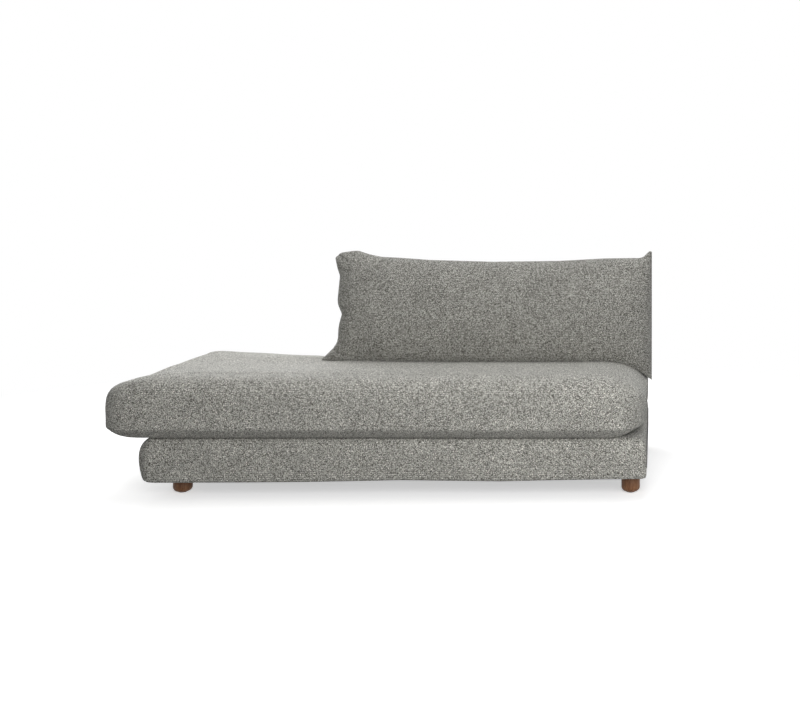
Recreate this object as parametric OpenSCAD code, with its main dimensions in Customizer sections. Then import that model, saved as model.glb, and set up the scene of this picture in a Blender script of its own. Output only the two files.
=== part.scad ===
// Modular sofa section with one open end: a low upholstered base on turned legs, a deep seat
// cushion that reaches round the back frame, and a loose back cushion that stands on it.
// The origin is on the floor, under the middle of the section. +X points to the joining
// end, -Y is the front and +Z is up. Sizes are in millimetres.

/* [Overall] */
// Length of the section, from the open end to the joining end
section_len = 2000; // [1800:10:2200]
// Depth of the section, from the front of the seat to the rear of the base
section_depth = 1045; // [980:5:1100]
// Height of the deck that the seat cushion lies on
deck_h = 222; // [205:1:250]
// Gap between pieces that lift apart
lift_gap = 0.4; // [0.3:0.1:1]

/* [Base] */
// How far the seat cushion overhangs the base at the open end
overhang_end = 130; // [80:5:160]
// How far the seat cushion overhangs the base at the front
overhang_front = 50; // [30:5:80]
// How far the joining side of the base stands back from the bulge of the cushions
joining_inset = 12; // [6:1:20]
// Height of the base's underside over the floor
base_bottom = 70; // [60:1:85]
// Plan radius of the base at the open end
base_open_r = 60; // [40:1:80]
// Plan radius of the base at the joining end
base_join_r = 25; // [15:1:40]
// Thickness of the upholstery cloth
cloth_t = 3; // [2:0.5:3.5]
// Distance from the outside of the cloth to the timber
upholstery_t = 22; // [20:1:28]
// Width of the cloth that is turned in on the deck
turn_in_w = 75; // [70:1:90]

/* [Timber] */
// Thickness of the rails, the posts and the cross rails
timber_t = 24; // [20:1:28]
// Thickness of the plates that the legs are bolted to
leg_plate_t = 18; // [15:1:22]
// Side of a leg plate
leg_plate_w = 150; // [130:5:170]
// Side of a corner block, along the rails
corner_block_w = 90; // [70:5:110]

/* [Webbing] */
// Width of a strap
strap_w = 60; // [50:1:70]
// Thickness of a strap
strap_t = 2; // [1.5:0.1:2.2]
// Number of straps from front to back
cross_straps = 11; // [9:1:12]
// Number of straps from end to end
long_straps = 6; // [4:1:6]
// Number of straps across the back frame
back_straps = 4; // [3:1:5]

/* [Legs] */
// Widest diameter of a turned leg
leg_d = 70; // [50:1:80]
// Distance from the open end of the base to the axis of the legs there
leg_in_open = 119; // [100:1:130]
// Distance from the joining side of the base to the axis of the legs there
leg_in_join = 60; // [52:1:80]
// Distance from the front and the rear of the base to the axes of the legs
leg_in_front = 110; // [90:1:125]
// Diameter of the bolts in the legs, the back frame and the connectors
bolt_d = 8; // [6:1:8]

/* [Back frame] */
// Height of the top of the back frame
frame_top = 690; // [640:5:720]
// Depth of the back frame at the deck
frame_depth = 217; // [200:1:230]
// Rake of its front face, in degrees
frame_rake = 8; // [4:0.5:9]
// Distance from the open end of the seat to the back frame
chaise_w = 700; // [640:10:760]

/* [Seat cushion] */
// Thickness of the seat cushion at its crown
seat_t = 216; // [190:1:230]
// Plan radius of its two front corners
seat_front_r = 150; // [100:5:180]
// Plan radius of its rear corner at the open end
seat_rear_r = 110; // [80:5:140]
// How far its free sides draw in between their corners
seat_draw = 10; // [0:1:20]
// Clearance round the back frame
seat_frame_gap = 14; // [12:1:20]

/* [Back cushion] */
// Greatest thickness of the back cushion
back_t = 240; // [200:1:244]
// Height of its top seam over the floor, at the middle of its length
back_top = 826; // [780:1:850]
// Height of its ears over the middle of the top seam
ear_rise = 47; // [20:1:60]
// How far the ear at the top of its open end stands out
ear_out = 46; // [20:1:60]
// Lean of the cushion, in degrees
back_lean = 9.5; // [6:0.5:10]
// Thickness of its end seams
back_edge_t = 16; // [14:1:24]
// Distance from the front of the seat to the foot of the back cushion
sitting_depth = 610; // [600:1:640]

/* [Zips] */
// Width of the tapes of a zip
zip_w = 22; // [18:1:24]
// Length of the seat cushion's zip
seat_zip_len = 1000; // [800:10:1100]
// Length of the back cushion's zip
back_zip_len = 600; // [400:10:640]

/* [Connectors] */
// Distance from a connector's pivot to the hole in its free end
link_len = 120; // [110:1:140]
// Width of a connector plate
link_w = 40; // [34:1:46]
// Thickness of a connector plate
link_t = 4; // [3:0.5:5]
// Diameter of the hole that takes the next section's bolt
link_hole_d = 9; // [8.5:0.1:11]

/* [Hidden] */
x_open = -section_len / 2;
x_join = section_len / 2;
y_front = -section_depth / 2;
y_rear = section_depth / 2;

// Outer faces of the base
base_x0 = x_open + overhang_end;
base_x1 = x_join - joining_inset;
base_y0 = y_front + overhang_front;
base_y1 = y_rear;

// Outer and inner faces of the timber frame
rail_x0 = base_x0 + upholstery_t;
rail_x1 = base_x1 - upholstery_t;
rail_y0 = base_y0 + upholstery_t;
rail_y1 = base_y1 - upholstery_t;
inner_x0 = rail_x0 + timber_t;
inner_x1 = rail_x1 - timber_t;
inner_y0 = rail_y0 + timber_t;
inner_y1 = rail_y1 - timber_t;

// Heights of the layers under the deck: dust cloth, hem, rails, webbing, foam and cloth
dust_cloth_t = 1.5;
dust_z = base_bottom - 0.5;
hem_z = dust_z + dust_cloth_t;
rail_z = hem_z + cloth_t;
rail_top = deck_h - 26;
padding_z = rail_top + strap_t + 0.3;
weave_mid = 2.4;
weave_half = 1.2;
deck_foam_z = rail_top + 5;
deck_foam_top = deck_h - cloth_t - 0.2;
deck_cloth_t = 2;
hem_w = 52;

// Legs
leg_xs = [base_x0 + leg_in_open, base_x1 - leg_in_join];
leg_ys = [base_y0 + leg_in_front, base_y1 - leg_in_front];
glide_t = 3;
glide_r = 16;
bolt_r = bolt_d / 2;
slip = 0.05;
leg_bolt_z = 40;
leg_bolt_len = 60;
corner_block_z = rail_z + 42;
corner_block_h = 70;

// Back frame: a front face raked from the deck, and a vertical rear face
frame_x0 = x_open + chaise_w;
frame_x1 = base_x1;
frame_y0 = y_rear - frame_depth;
frame_z = deck_h + 0.4;
post_x0 = frame_x0 + upholstery_t;
post_x1 = frame_x1 - upholstery_t - timber_t;
post_xs = [post_x0, (post_x0 + post_x1) / 2, post_x1];
board_t = 3;
bottom_rail_y0 = inner_y1 - timber_t;
bottom_rail_z = rail_top - 90;
bottom_rail_x1 = inner_x1 - corner_block_w - 6;
frame_bolt_z = rail_top - 46;

// Seat cushion
seat_z = deck_h + lift_gap;
seat_top = seat_z + seat_t;
seat_rear_y = frame_y0 - seat_frame_gap + 4;
seat_step_x = frame_x0 - seat_frame_gap;

// Back cushion
rest_z = seat_top + lift_gap;
back_foot_y = y_front + sitting_depth;
back_x0 = frame_x0 - 25;
back_x1 = x_join;

// Connectors under the joining side, one near the front and one near the rear
link_x = inner_x1 - 30;
link_ys = [-150, 200];
link_z = base_bottom - 7.7;
link_gap = 0.3;

// Colours
tweed = [0.56, 0.55, 0.52];
walnut = [0.46, 0.34, 0.25];
pine = [0.85, 0.72, 0.52];
plywood = [0.78, 0.64, 0.44];
foam = [0.93, 0.90, 0.78];
wadding = [0.95, 0.95, 0.95];
lining = [0.16, 0.16, 0.17];
elastic = [0.20, 0.20, 0.22];
steel = [0.70, 0.71, 0.73];

// A plan is a list of square corners, anticlockwise: [x, y, radius, how far the edge after
// it draws in, number of points on that edge].
arc_steps = 4;
base_plan = [
    [base_x0, base_y0, base_open_r, 3, 3],
    [base_x1, base_y0, base_join_r, 0, 0],
    [base_x1, base_y1, base_join_r, 0, 0],
    [base_x0, base_y1, base_open_r, 3, 2]
];
seat_plan = [
    [x_open, y_front, seat_front_r, seat_draw, 5],
    [x_join, y_front, seat_front_r, 0, 1],
    [x_join, seat_rear_y, 40, 0, 1],
    [seat_step_x, seat_rear_y, 20, 0, 0],
    [seat_step_x, y_rear - 18, 50, 0, 1],
    [x_open, y_rear - 18, seat_rear_r, seat_draw, 3]
];

function inward(d) = [-d.y, d.x];
function wrap(i, n) = (i + n) % n;

function edge_dir(plan, i) =
    let (a = plan[i], b = plan[wrap(i + 1, len(plan))], d = [b.x - a.x, b.y - a.y])
    d / norm(d);

// Corner i of a plan whose edges have all moved in by inset
function inset_corner(plan, i, inset) =
    let (before = edge_dir(plan, wrap(i - 1, len(plan))), after = edge_dir(plan, i))
    [plan[i].x, plan[i].y] + inset * (inward(before) + inward(after));

// A free corner gets tighter as it moves in, and an inner corner gets wider
function inset_radius(plan, i, inset) =
    let (
        before = edge_dir(plan, wrap(i - 1, len(plan))),
        after = edge_dir(plan, i),
        free = before.x * after.y - before.y * after.x > 0,
        r = plan[i][2]
    )
    free ? max(r - inset, 0.3 * r) : r + 0.35 * inset;

// Ring of plan points at an inset. A radius given as tight replaces the corners' own, and
// makes the edges straight, as beside the timber.
function ring(plan, inset, tight = 0) =
    let (n = len(plan))
    [for (i = [0:n - 1])
        let (
            j = wrap(i + 1, n),
            before = edge_dir(plan, wrap(i - 1, n)),
            after = edge_dir(plan, i),
            p = inset_corner(plan, i, inset),
            r = tight > 0 ? tight : inset_radius(plan, i, inset),
            centre = p - r * before + r * after,
            start = p + r * after,
            next_r = tight > 0 ? tight : inset_radius(plan, j, inset),
            end = inset_corner(plan, j, inset) - next_r * after,
            count = plan[i][4],
            draw = tight > 0 ? 0 : plan[i][3]
        )
        each concat(
            [for (k = [0:arc_steps])
                let (a = 90 * k / arc_steps)
                centre - r * cos(a) * after + r * sin(a) * before],
            [for (k = [1:1:count])
                let (t = k / (count + 1))
                start + (end - start) * t + inward(after) * draw * sin(180 * t)]
        )
    ];

function lift(points, z) = [for (p = points) [p.x, p.y, z]];
function flatten(lists) = [for (l = lists) each l];

// Triangles between ring i and ring i + 1 of rings that have m points each
function strip(i, j, m) =
    [for (k = [0:m - 1])
        let (a = i * m + k, b = i * m + (k + 1) % m, c = j * m + (k + 1) % m, d = j * m + k)
        each [[a, d, c], [a, c, b]]];

// Closed band: a profile of [inset, height, tight radius or 0] swept round a plan
module band(plan, profile) {
    rings = [for (p = profile) lift(ring(plan, p[0], p[2]), p[1])];
    n = len(rings);
    m = len(rings[0]);
    polyhedron(
        points = flatten(rings),
        faces = flatten([for (i = [0:n - 1]) strip(i, (i + 1) % n, m)])
    );
}

// Closed body: a profile of [inset, height] swept round a plan from its underside to its
// top, and closed by fans from a point that sees the whole plan
module crowned_body(plan, profile, middle) {
    rings = [for (p = profile) lift(ring(plan, p[0]), p[1])];
    n = len(rings);
    m = len(rings[0]);
    low = n * m;
    high = n * m + 1;
    last = (n - 1) * m;
    polyhedron(
        points = concat(
            flatten(rings),
            [[middle.x, middle.y, profile[0][1]], [middle.x, middle.y, profile[n - 1][1]]]
        ),
        faces = concat(
            flatten([for (i = [0:n - 2]) strip(i, i + 1, m)]),
            [for (k = [0:m - 1]) [low, k, (k + 1) % m]],
            [for (k = [0:m - 1]) [high, last + (k + 1) % m, last + k]]
        )
    );
}

module box(low, high) {
    translate(low) cube(high - low);
}

// Profile in the Y-Z plane, extruded along X from x0 to x1
module along_x(x0, x1) {
    translate([x0, 0, 0]) rotate([90, 0, 90]) linear_extrude(x1 - x0) children();
}

module along_y(y0, y1) {
    translate([0, y0, 0]) rotate([-90, 0, 0]) linear_extrude(y1 - y0) children();
}

// Base frame of solid timber rails, butted at the corners
screw_r = 2.25;
screw_len = 52;

module corner_screws(r, way_in = 0) {
    for (sx = [0, 1], sy = [0, 1]) {
        x_in = sx == 0 ? inner_x0 : inner_x1;
        y_in = sy == 0 ? inner_y0 : inner_y1;
        to_x = sx == 0 ? 1 : -1;
        to_y = sy == 0 ? 1 : -1;
        // one screw goes through the block into the end rail, the other into the long rail
        translate([x_in - to_x * 16, y_in + to_y * 22, corner_block_z + 22])
            rotate([0, to_x * 90, 0]) screw(r, way_in);
        translate([x_in + to_x * 22, y_in - to_y * 16, corner_block_z + 48])
            rotate([-to_y * 90, 0, 0]) screw(r, way_in);
    }
}

// Countersunk screw, with the way in for its head where a block is drilled for it
module screw(r, way_in) {
    head_t = 3;
    cylinder(h = screw_len, r = r, $fn = 24);
    translate([0, 0, screw_len - head_t]) cylinder(h = head_t, r1 = r, r2 = 2.1 * r, $fn = 24);
    if (way_in > 0) translate([0, 0, screw_len]) cylinder(h = way_in, r = 2.1 * r, $fn = 24);
}

module frame_bolt_holes() {
    for (x = frame_bolt_xs())
        translate([x, bottom_rail_y0 - 1, frame_bolt_z])
            rotate([-90, 0, 0]) cylinder(h = 2 * timber_t + 2, r = bolt_r + 0.5, $fn = 32);
}

function frame_bolt_xs() =
    [for (k = [0:3]) post_x0 + 110 + k * (bottom_rail_x1 - post_x0 - 220) / 3];

// Long rail with its outer corner at the open end taken off, to follow the cover. The
// rail runs along X, with its outer face at y = 0 and its inner face at y = timber_t.
rail_chamfer = 16;

module long_rail() {
    translate([0, 0, rail_z]) linear_extrude(rail_top - rail_z)
        polygon([
            [rail_x0 + rail_chamfer, 0], [rail_x1, 0], [rail_x1, timber_t],
            [rail_x0, timber_t], [rail_x0, rail_chamfer]
        ]);
}

module base_front_rail() {
    color(pine) difference() {
        translate([0, rail_y0, 0]) long_rail();
        corner_screws(screw_r + slip);
    }
}

module base_rear_rail() {
    color(pine) difference() {
        translate([0, rail_y1, 0]) mirror([0, 1, 0]) long_rail();
        corner_screws(screw_r + slip);
        frame_bolt_holes();
        for (x = frame_bolt_xs())
            translate([x, rail_y1 - bolt_head_t, frame_bolt_z])
                rotate([-90, 0, 0]) cylinder(h = 10, r = bolt_head_r + 0.5, $fn = 32);
    }
}

module end_rail(x0) {
    difference() {
        box([x0, inner_y0, rail_z], [x0 + timber_t, inner_y1, rail_top]);
        corner_screws(screw_r + slip);
    }
}

module base_open_end_rail() {
    color(pine) end_rail(rail_x0);
}

module base_joining_rail() {
    color(pine) end_rail(inner_x1);
}

// Cross rails under the posts, dropped so that the webbing can give
cross_rail_drop = 45;

module base_cross_rails() {
    color(pine)
        for (x = [post_xs[0], post_xs[1]])
            box([x, inner_y0, rail_z], [x + timber_t, bottom_rail_y0, rail_top - cross_rail_drop]);
}

module base_corner_blocks() {
    color(pine) difference() {
        for (sx = [0, 1], sy = [0, 1])
            translate([sx == 0 ? inner_x0 : inner_x1, sy == 0 ? inner_y0 : inner_y1, corner_block_z])
                mirror([sx, 0, 0]) mirror([0, sy, 0]) linear_extrude(corner_block_h)
                    polygon([[0, 0], [corner_block_w, 0], [corner_block_w, 12],
                        [12, corner_block_w], [0, corner_block_w]]);
        corner_screws(screw_r + slip, way_in = 60);
    }
}

module corner_block_screws() {
    color(steel) corner_screws(screw_r);
}

module leg_plates() {
    color(plywood) difference() {
        for (sx = [0, 1], sy = [0, 1])
            translate([sx == 0 ? inner_x0 : inner_x1, sy == 0 ? inner_y0 : inner_y1, rail_z])
                mirror([sx, 0, 0]) mirror([0, sy, 0])
                    cube([leg_plate_w, leg_plate_w, leg_plate_t]);
        for (x = leg_xs, y = leg_ys)
            translate([x, y, rail_z - 1]) cylinder(h = leg_plate_t + 2, r = tee_barrel_r, $fn = 32);
    }
}

// Blocks inside the joining rail, which the connectors are bolted to
link_block = [60, 80, 36];

module connector_blocks() {
    color(pine) difference() {
        for (y = link_ys)
            box([inner_x1 - link_block.x, y - link_block.y / 2, rail_z],
                [inner_x1, y + link_block.y / 2, rail_z + link_block.z]);
        for (y = link_ys)
            translate([link_x, y, rail_z - 1]) cylinder(h = 29, r = bolt_r + slip, $fn = 32);
    }
}

// Webbing, woven over and under. A strap is a thin profile along its own path.
function spread(from, to, count) = [for (k = [0:count - 1]) from + k * (to - from) / (count - 1)];
cross_xs = spread(inner_x0 + 124, inner_x1 - 42, cross_straps);
long_ys = spread(inner_y0 + 46, frame_y0 - 36, long_straps);

// Path of a strap from rail to rail: flat on the rails, and over or under at each crossing
function strap_path(from, to, crossings, parity) = concat(
    [[from, strap_t / 2], [from + timber_t, strap_t / 2]],
    [for (k = [0:len(crossings) - 1])
        let (z = weave_mid + ((k + parity) % 2 == 0 ? weave_half : -weave_half))
        each [[crossings[k] - strap_w / 2, z], [crossings[k] + strap_w / 2, z]]],
    [[to - timber_t, strap_t / 2], [to, strap_t / 2]]
);

module strap(path) {
    half = [0, strap_t / 2];
    polygon(concat(
        [for (p = path) p - half],
        [for (k = [len(path) - 1:-1:0]) path[k] + half]
    ));
}

module crosswise_webbing() {
    color(elastic)
        for (i = [0:cross_straps - 1])
            translate([0, 0, rail_top]) along_x(cross_xs[i] - strap_w / 2, cross_xs[i] + strap_w / 2)
                strap(strap_path(rail_y0 + 2, rail_y1 - 2, long_ys, i));
}

module lengthwise_webbing() {
    color(elastic)
        for (j = [0:long_straps - 1])
            translate([0, long_ys[j] + strap_w / 2, rail_top]) rotate([90, 0, 0])
                linear_extrude(strap_w)
                    strap(strap_path(rail_x0 + 2, rail_x1 - 2, cross_xs, j + 1));
}

// Notches in the deck and the cover for the feet of the posts
module post_notches() {
    for (x = post_xs)
        box([x - 0.3, bottom_rail_y0 - 0.3, rail_top - 10],
            [x + timber_t + 0.3, rail_y1 + 0.3, deck_h + 10]);
}

module deck_foam() {
    color(foam) difference() {
        translate([0, 0, deck_foam_z]) linear_extrude(deck_foam_top - deck_foam_z)
            polygon(ring(base_plan, 70.4));
        post_notches();
    }
}

module deck_cloth() {
    color(lining) difference() {
        translate([0, 0, deck_foam_top]) linear_extrude(deck_cloth_t)
            polygon(ring(base_plan, turn_in_w + 0.6));
        post_notches();
    }
}

// Roll of foam over the rails, which gives the base its soft shoulder
shoulder = [[0, -44], [3, -28], [12, -14.5], [27, -5], [45, 0]];

module base_edge_padding() {
    inner = upholstery_t - 0.6;
    off = cloth_t + 0.2;
    profile = concat(
        [[off, rail_z + 26, 0]],
        [for (s = shoulder) [s.x + off * (1 - s.x / 45), deck_h + s.y - off * (44 + s.y) / 44, 0]],
        [[70, deck_foam_top, 0], [70, deck_foam_z, 0], [50, deck_foam_z, 0]],
        [[47, padding_z, 0], [inner, padding_z, 2], [inner, rail_z + 26, 2]]
    );
    color(foam) difference() {
        band(base_plan, profile);
        post_notches();
    }
}

// Cloth round the base: hem under the rails, sides, soft shoulder and turn-in on the deck
module base_cover() {
    outer = concat(
        [[hem_w, hem_z], [14, hem_z], [4, hem_z + 3], [0, hem_z + 13]],
        [for (s = shoulder) [s.x, deck_h + s.y]],
        [[turn_in_w, deck_h]]
    );
    inner = concat(
        [[turn_in_w, deck_h - cloth_t]],
        [for (k = [4:-1:0])
            let (s = shoulder[k])
            [s.x + cloth_t * (1 - s.x / 45), deck_h + s.y - cloth_t * (44 + s.y) / 44]],
        [[cloth_t, hem_z + 13.5], [6.5, hem_z + 5], [15, hem_z + cloth_t], [hem_w, hem_z + cloth_t]]
    );
    color(tweed) difference() {
        band(base_plan, [for (p = concat(outer, inner)) [p.x, p.y, 0]]);
        post_notches();
    }
}

module base_dust_cloth() {
    color(lining) difference() {
        translate([0, 0, dust_z]) linear_extrude(dust_cloth_t) polygon(ring(base_plan, 30));
        for (x = leg_xs, y = leg_ys)
            translate([x, y, dust_z - 1]) cylinder(h = 4, r = bolt_r + 0.5, $fn = 32);
        for (y = link_ys)
            translate([link_x, y, dust_z - 1]) cylinder(h = 4, r = bush_r + 0.5, $fn = 32);
    }
}

// Plain stiffened cloth on the side that meets the next section
module joining_side_panel() {
    color(lining)
        box([base_x1, base_y0 + 80, base_bottom + 25], [base_x1 + 2, base_y1 - 80, deck_h - 50]);
}

// Turned leg with a slight flare, a broken lower edge and a blind hole for its bolt
module leg(x, y) {
    r = leg_d / 2;
    top = dust_z;
    translate([x, y, 0]) difference() {
        rotate_extrude($fn = 96)
            polygon([
                [0, glide_t], [r - 5, glide_t], [r - 1.5, glide_t + 1.5], [r, glide_t + 5],
                [r - 1.2, top - 1.5], [r - 2.5, top], [0, top]
            ]);
        translate([0, 0, leg_bolt_z]) cylinder(h = top, r = bolt_r + slip, $fn = 32);
    }
}

module front_left_leg() {
    color(walnut) leg(leg_xs[0], leg_ys[0]);
}

module front_right_leg() {
    color(walnut) leg(leg_xs[1], leg_ys[0]);
}

module rear_left_leg() {
    color(walnut) leg(leg_xs[0], leg_ys[1]);
}

module rear_right_leg() {
    color(walnut) leg(leg_xs[1], leg_ys[1]);
}

module leg_bolts() {
    color(steel)
        for (x = leg_xs, y = leg_ys)
            translate([x, y, leg_bolt_z]) cylinder(h = leg_bolt_len, r = bolt_r, $fn = 32);
}

// Tee nuts sit on the leg plates with their barrels in the plates
tee_barrel_r = bolt_r + 1.2;
tee_flange_r = bolt_r + 7;

module leg_tee_nuts() {
    color(steel)
        for (x = leg_xs, y = leg_ys)
            translate([x, y, 0]) rotate_extrude($fn = 48)
                polygon([
                    [bolt_r + slip, rail_z + 6], [tee_barrel_r - slip, rail_z + 6],
                    [tee_barrel_r - slip, rail_z + leg_plate_t],
                    [tee_flange_r, rail_z + leg_plate_t],
                    [tee_flange_r, rail_z + leg_plate_t + 1.5],
                    [bolt_r + slip, rail_z + leg_plate_t + 1.5]
                ]);
}

module leg_glides() {
    color(lining)
        for (x = leg_xs, y = leg_ys)
            translate([x, y, 0]) rotate_extrude($fn = 64)
                polygon([[0, 0], [glide_r - 1, 0], [glide_r, 1], [glide_r, glide_t], [0, glide_t]]);
}

// Back frame. The front face lies at front_y(z), and insets are measured from it.
function front_y(z) = frame_y0 + (z - deck_h) * tan(frame_rake);

function corner_arc(centre, r, from, to, steps) =
    [for (k = [0:steps]) let (a = from + (to - from) * k / steps) centre + r * [cos(a), sin(a)]];

// Side view of the back frame, moved in by inset, with soft upper edges
function frame_profile(inset, front_r, rear_r, low) =
    let (
        top = frame_top - inset,
        rear = y_rear - inset,
        front = front_y(top) + inset / cos(frame_rake),
        foot = front_y(low) + inset / cos(frame_rake),
        fr = max(front_r - inset, 3),
        rr = max(rear_r - inset, 3)
    )
    concat(
        [[rear, low]],
        corner_arc([rear - rr, top - rr], rr, 0, 90, 4),
        corner_arc([front + fr, top - fr], fr, 90, 172, 5),
        [[foot, low]]
    );

module frame_shell_body(inset, low) {
    along_x(frame_x0 + inset, frame_x1 - inset) polygon(frame_profile(inset, 34, 20, low));
}

module back_frame_cover() {
    color(tweed) difference() {
        frame_shell_body(0, frame_z);
        frame_shell_body(cloth_t, frame_z - 10);
    }
}

module back_frame_foam() {
    color(foam) difference() {
        frame_shell_body(cloth_t + 0.1, frame_z);
        along_x(post_x0 - 0.2, post_x1 + timber_t + 0.2)
            polygon([
                [rail_y1 + board_t + 0.2, frame_z - 10],
                [rail_y1 + board_t + 0.2, frame_top - upholstery_t + 0.2],
                [timber_front(frame_top - upholstery_t) - strap_t - 0.4, frame_top - upholstery_t + 0.2],
                [timber_front(frame_z - 10) - strap_t - 0.4, frame_z - 10]
            ]);
    }
}

// Front edge of the posts, behind the foam and the webbing
function timber_front(z) = front_y(z) + upholstery_t / cos(frame_rake);

// Post cut from board: a foot on the rails, a raked front edge and a lightening hole
module post(x) {
    top = frame_top - upholstery_t - timber_t;
    hole_r = 34;
    along_x(x, x + timber_t) difference() {
        polygon([
            [bottom_rail_y0, rail_top], [rail_y1, rail_top], [rail_y1, top],
            [timber_front(top), top], [timber_front(frame_z), frame_z], [bottom_rail_y0, frame_z]
        ]);
        for (z = [350, 520]) translate([(timber_front(z) + rail_y1) / 2, z]) circle(r = hole_r, $fn = 48);
    }
}

module back_left_post() {
    color(plywood) post(post_xs[0]);
}

module back_middle_post() {
    color(plywood) post(post_xs[1]);
}

module back_right_post() {
    color(plywood) post(post_xs[2]);
}

module back_top_rail() {
    top = frame_top - upholstery_t;
    low = top - timber_t;
    color(pine) along_x(post_x0, post_x1 + timber_t)
        polygon([[timber_front(low), low], [rail_y1, low], [rail_y1, top], [timber_front(top), top]]);
}

module back_bottom_rail() {
    color(pine) difference() {
        box([post_x0, bottom_rail_y0, bottom_rail_z], [bottom_rail_x1, inner_y1, rail_top]);
        frame_bolt_holes();
    }
}

module back_webbing() {
    first = frame_z + 50;
    last = frame_top - upholstery_t - 90;
    color(elastic)
        for (z = spread(first, last, back_straps))
            translate([post_x0, timber_front(z) - (strap_t + 0.05) / cos(frame_rake), z])
                rotate([-frame_rake, 0, 0]) cube([post_x1 + timber_t - post_x0, strap_t, strap_w]);
}

module back_rear_board() {
    color(plywood)
        box([post_x0, rail_y1, frame_z], [post_x1 + timber_t, rail_y1 + board_t, frame_top - upholstery_t]);
}

// Bolts that hold the back frame to the rear rail, with washers and nuts inside
bolt_head_r = 10;
bolt_head_t = 5;
nut_t = 6.5;
washer_t = 1.6;

module back_frame_bolts() {
    color(steel)
        for (x = frame_bolt_xs())
            translate([x, rail_y1 - bolt_head_t, frame_bolt_z]) {
                rotate([90, 0, 0]) cylinder(h = 2 * timber_t - bolt_head_t + 12, r = bolt_r, $fn = 32);
                rotate([-90, 0, 0]) cylinder(h = bolt_head_t - 1, r = bolt_head_r, $fn = 48);
            }
}

module back_frame_nuts() {
    color(steel)
        for (x = frame_bolt_xs())
            translate([x, bottom_rail_y0, frame_bolt_z]) rotate([90, 0, 0]) difference() {
                union() {
                    cylinder(h = washer_t, r = 2.1 * bolt_r, $fn = 48);
                    translate([0, 0, washer_t - 0.01])
                        cylinder(h = nut_t, r = 1.85 * bolt_r, $fn = 6);
                }
                translate([0, 0, -1]) cylinder(h = 12, r = bolt_r + slip, $fn = 32);
            }
}

// Connectors: flat steel links that swing out from under the joining side
bush_r = 9;

module link(y, side) {
    translate([link_x, y, link_z]) difference() {
        union() {
            cylinder(h = link_t, r = link_w / 2, $fn = 64);
            translate([0, side * link_len, 0]) cylinder(h = link_t, r = link_w / 2, $fn = 64);
            translate([-link_w / 2, side > 0 ? 0 : -link_len, 0]) cube([link_w, link_len, link_t]);
        }
        translate([0, 0, -1]) cylinder(h = link_t + 2, r = bolt_r + slip, $fn = 48);
        translate([0, side * link_len, -1]) cylinder(h = link_t + 2, r = link_hole_d / 2, $fn = 48);
    }
}

module front_connector_plate() {
    color(steel) link(link_ys[0], 1);
}

module rear_connector_plate() {
    color(steel) link(link_ys[1], -1);
}

module connector_pivot_bolts() {
    head_t = 4;
    color(steel)
        for (y = link_ys)
            translate([link_x, y, link_z - link_gap - head_t]) {
                cylinder(h = head_t, r = 9, $fn = 48);
                cylinder(h = rail_z + 28 - (link_z - link_gap - head_t), r = bolt_r, $fn = 32);
            }
}

module connector_bushes() {
    low = link_z + link_t + link_gap;
    color(steel)
        for (y = link_ys)
            translate([link_x, y, low]) difference() {
                cylinder(h = rail_z - low, r = bush_r, $fn = 48);
                translate([0, 0, -1]) cylinder(h = 20, r = bolt_r + slip, $fn = 32);
            }
}

// Seat cushion: a block of foam in a thick wrap of fibre, in a boxed cover that bellies
// out at its sides and is crowned on top
function seat_profile(off) = [
    [28 + off, seat_z + off], [10 + off, seat_z + 7 + off * 0.6], [2 + off, seat_z + 23],
    [off, seat_z + 52], [off, seat_z + 112], [4 + off, seat_z + 146],
    [16 + off, seat_z + 174 - off * 0.4], [40 + off, seat_z + 193 - off * 0.8],
    [82 + off, seat_z + 204 - off], [150 + off, seat_top - 4 - off], [235 + off, seat_top - off]
];
seat_middle = [(x_open + seat_step_x) / 2, (y_front + seat_rear_y) / 2];

module seat_body(off) {
    crowned_body(seat_plan, seat_profile(off), seat_middle);
}

module seat_core_body(grow) {
    translate([0, 0, seat_z + 20 - grow]) linear_extrude(142 + 2 * grow)
        polygon(ring(seat_plan, 30 - grow));
}

module seat_foam_core() {
    color(foam) seat_core_body(0);
}

module seat_fibre_wrap() {
    color(wadding) difference() {
        seat_body(cloth_t + 0.1);
        seat_core_body(0.1);
    }
}

seat_zip_x = (seat_step_x + x_join) / 2 - 40;
seat_zip_z = seat_z + 80;

module seat_cushion_cover() {
    color(tweed) difference() {
        seat_body(0);
        seat_body(cloth_t);
        translate([seat_zip_x, seat_rear_y, seat_zip_z]) zip_slot(seat_zip_len);
    }
}

// Zips lie in a slot in the cover. Along X, with the outside of the cloth at y = 0.
chain_w = 6;
chain_out = 1.5;

module zip_slot(length) {
    translate([-length / 2, -2 * cloth_t, -zip_w / 2]) cube([length, 3 * cloth_t, zip_w]);
}

module zip_tapes(length) {
    depth = cloth_t + 0.1;
    translate([-length / 2 + 0.5, -depth, -zip_w / 2 + 0.5]) cube([length - 1, 1.6, zip_w - 1]);
    translate([-length / 2 + 8, -depth, -chain_w / 2])
        cube([length - 16, depth + chain_out, chain_w]);
}

// Slider without a pull, which straddles the chain with clearance
slider_len = 16;
slider_wall = 1.6;
slider_clear = 0.4;

module slider() {
    inner = chain_w + 2 * slider_clear;
    low = -cloth_t + 1.9;
    high = chain_out + slider_clear + slider_wall;
    difference() {
        translate([0, low, -inner / 2 - slider_wall])
            cube([slider_len, high - low, inner + 2 * slider_wall]);
        translate([-1, low - 1, -inner / 2])
            cube([slider_len + 2, chain_out + slider_clear - low + 1, inner]);
    }
}

module seat_zip() {
    color(lining) translate([seat_zip_x, seat_rear_y, seat_zip_z]) zip_tapes(seat_zip_len);
}

module seat_zip_slider() {
    color(steel)
        translate([seat_zip_x - seat_zip_len / 2 + 12, seat_rear_y, seat_zip_z]) slider();
}

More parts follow.
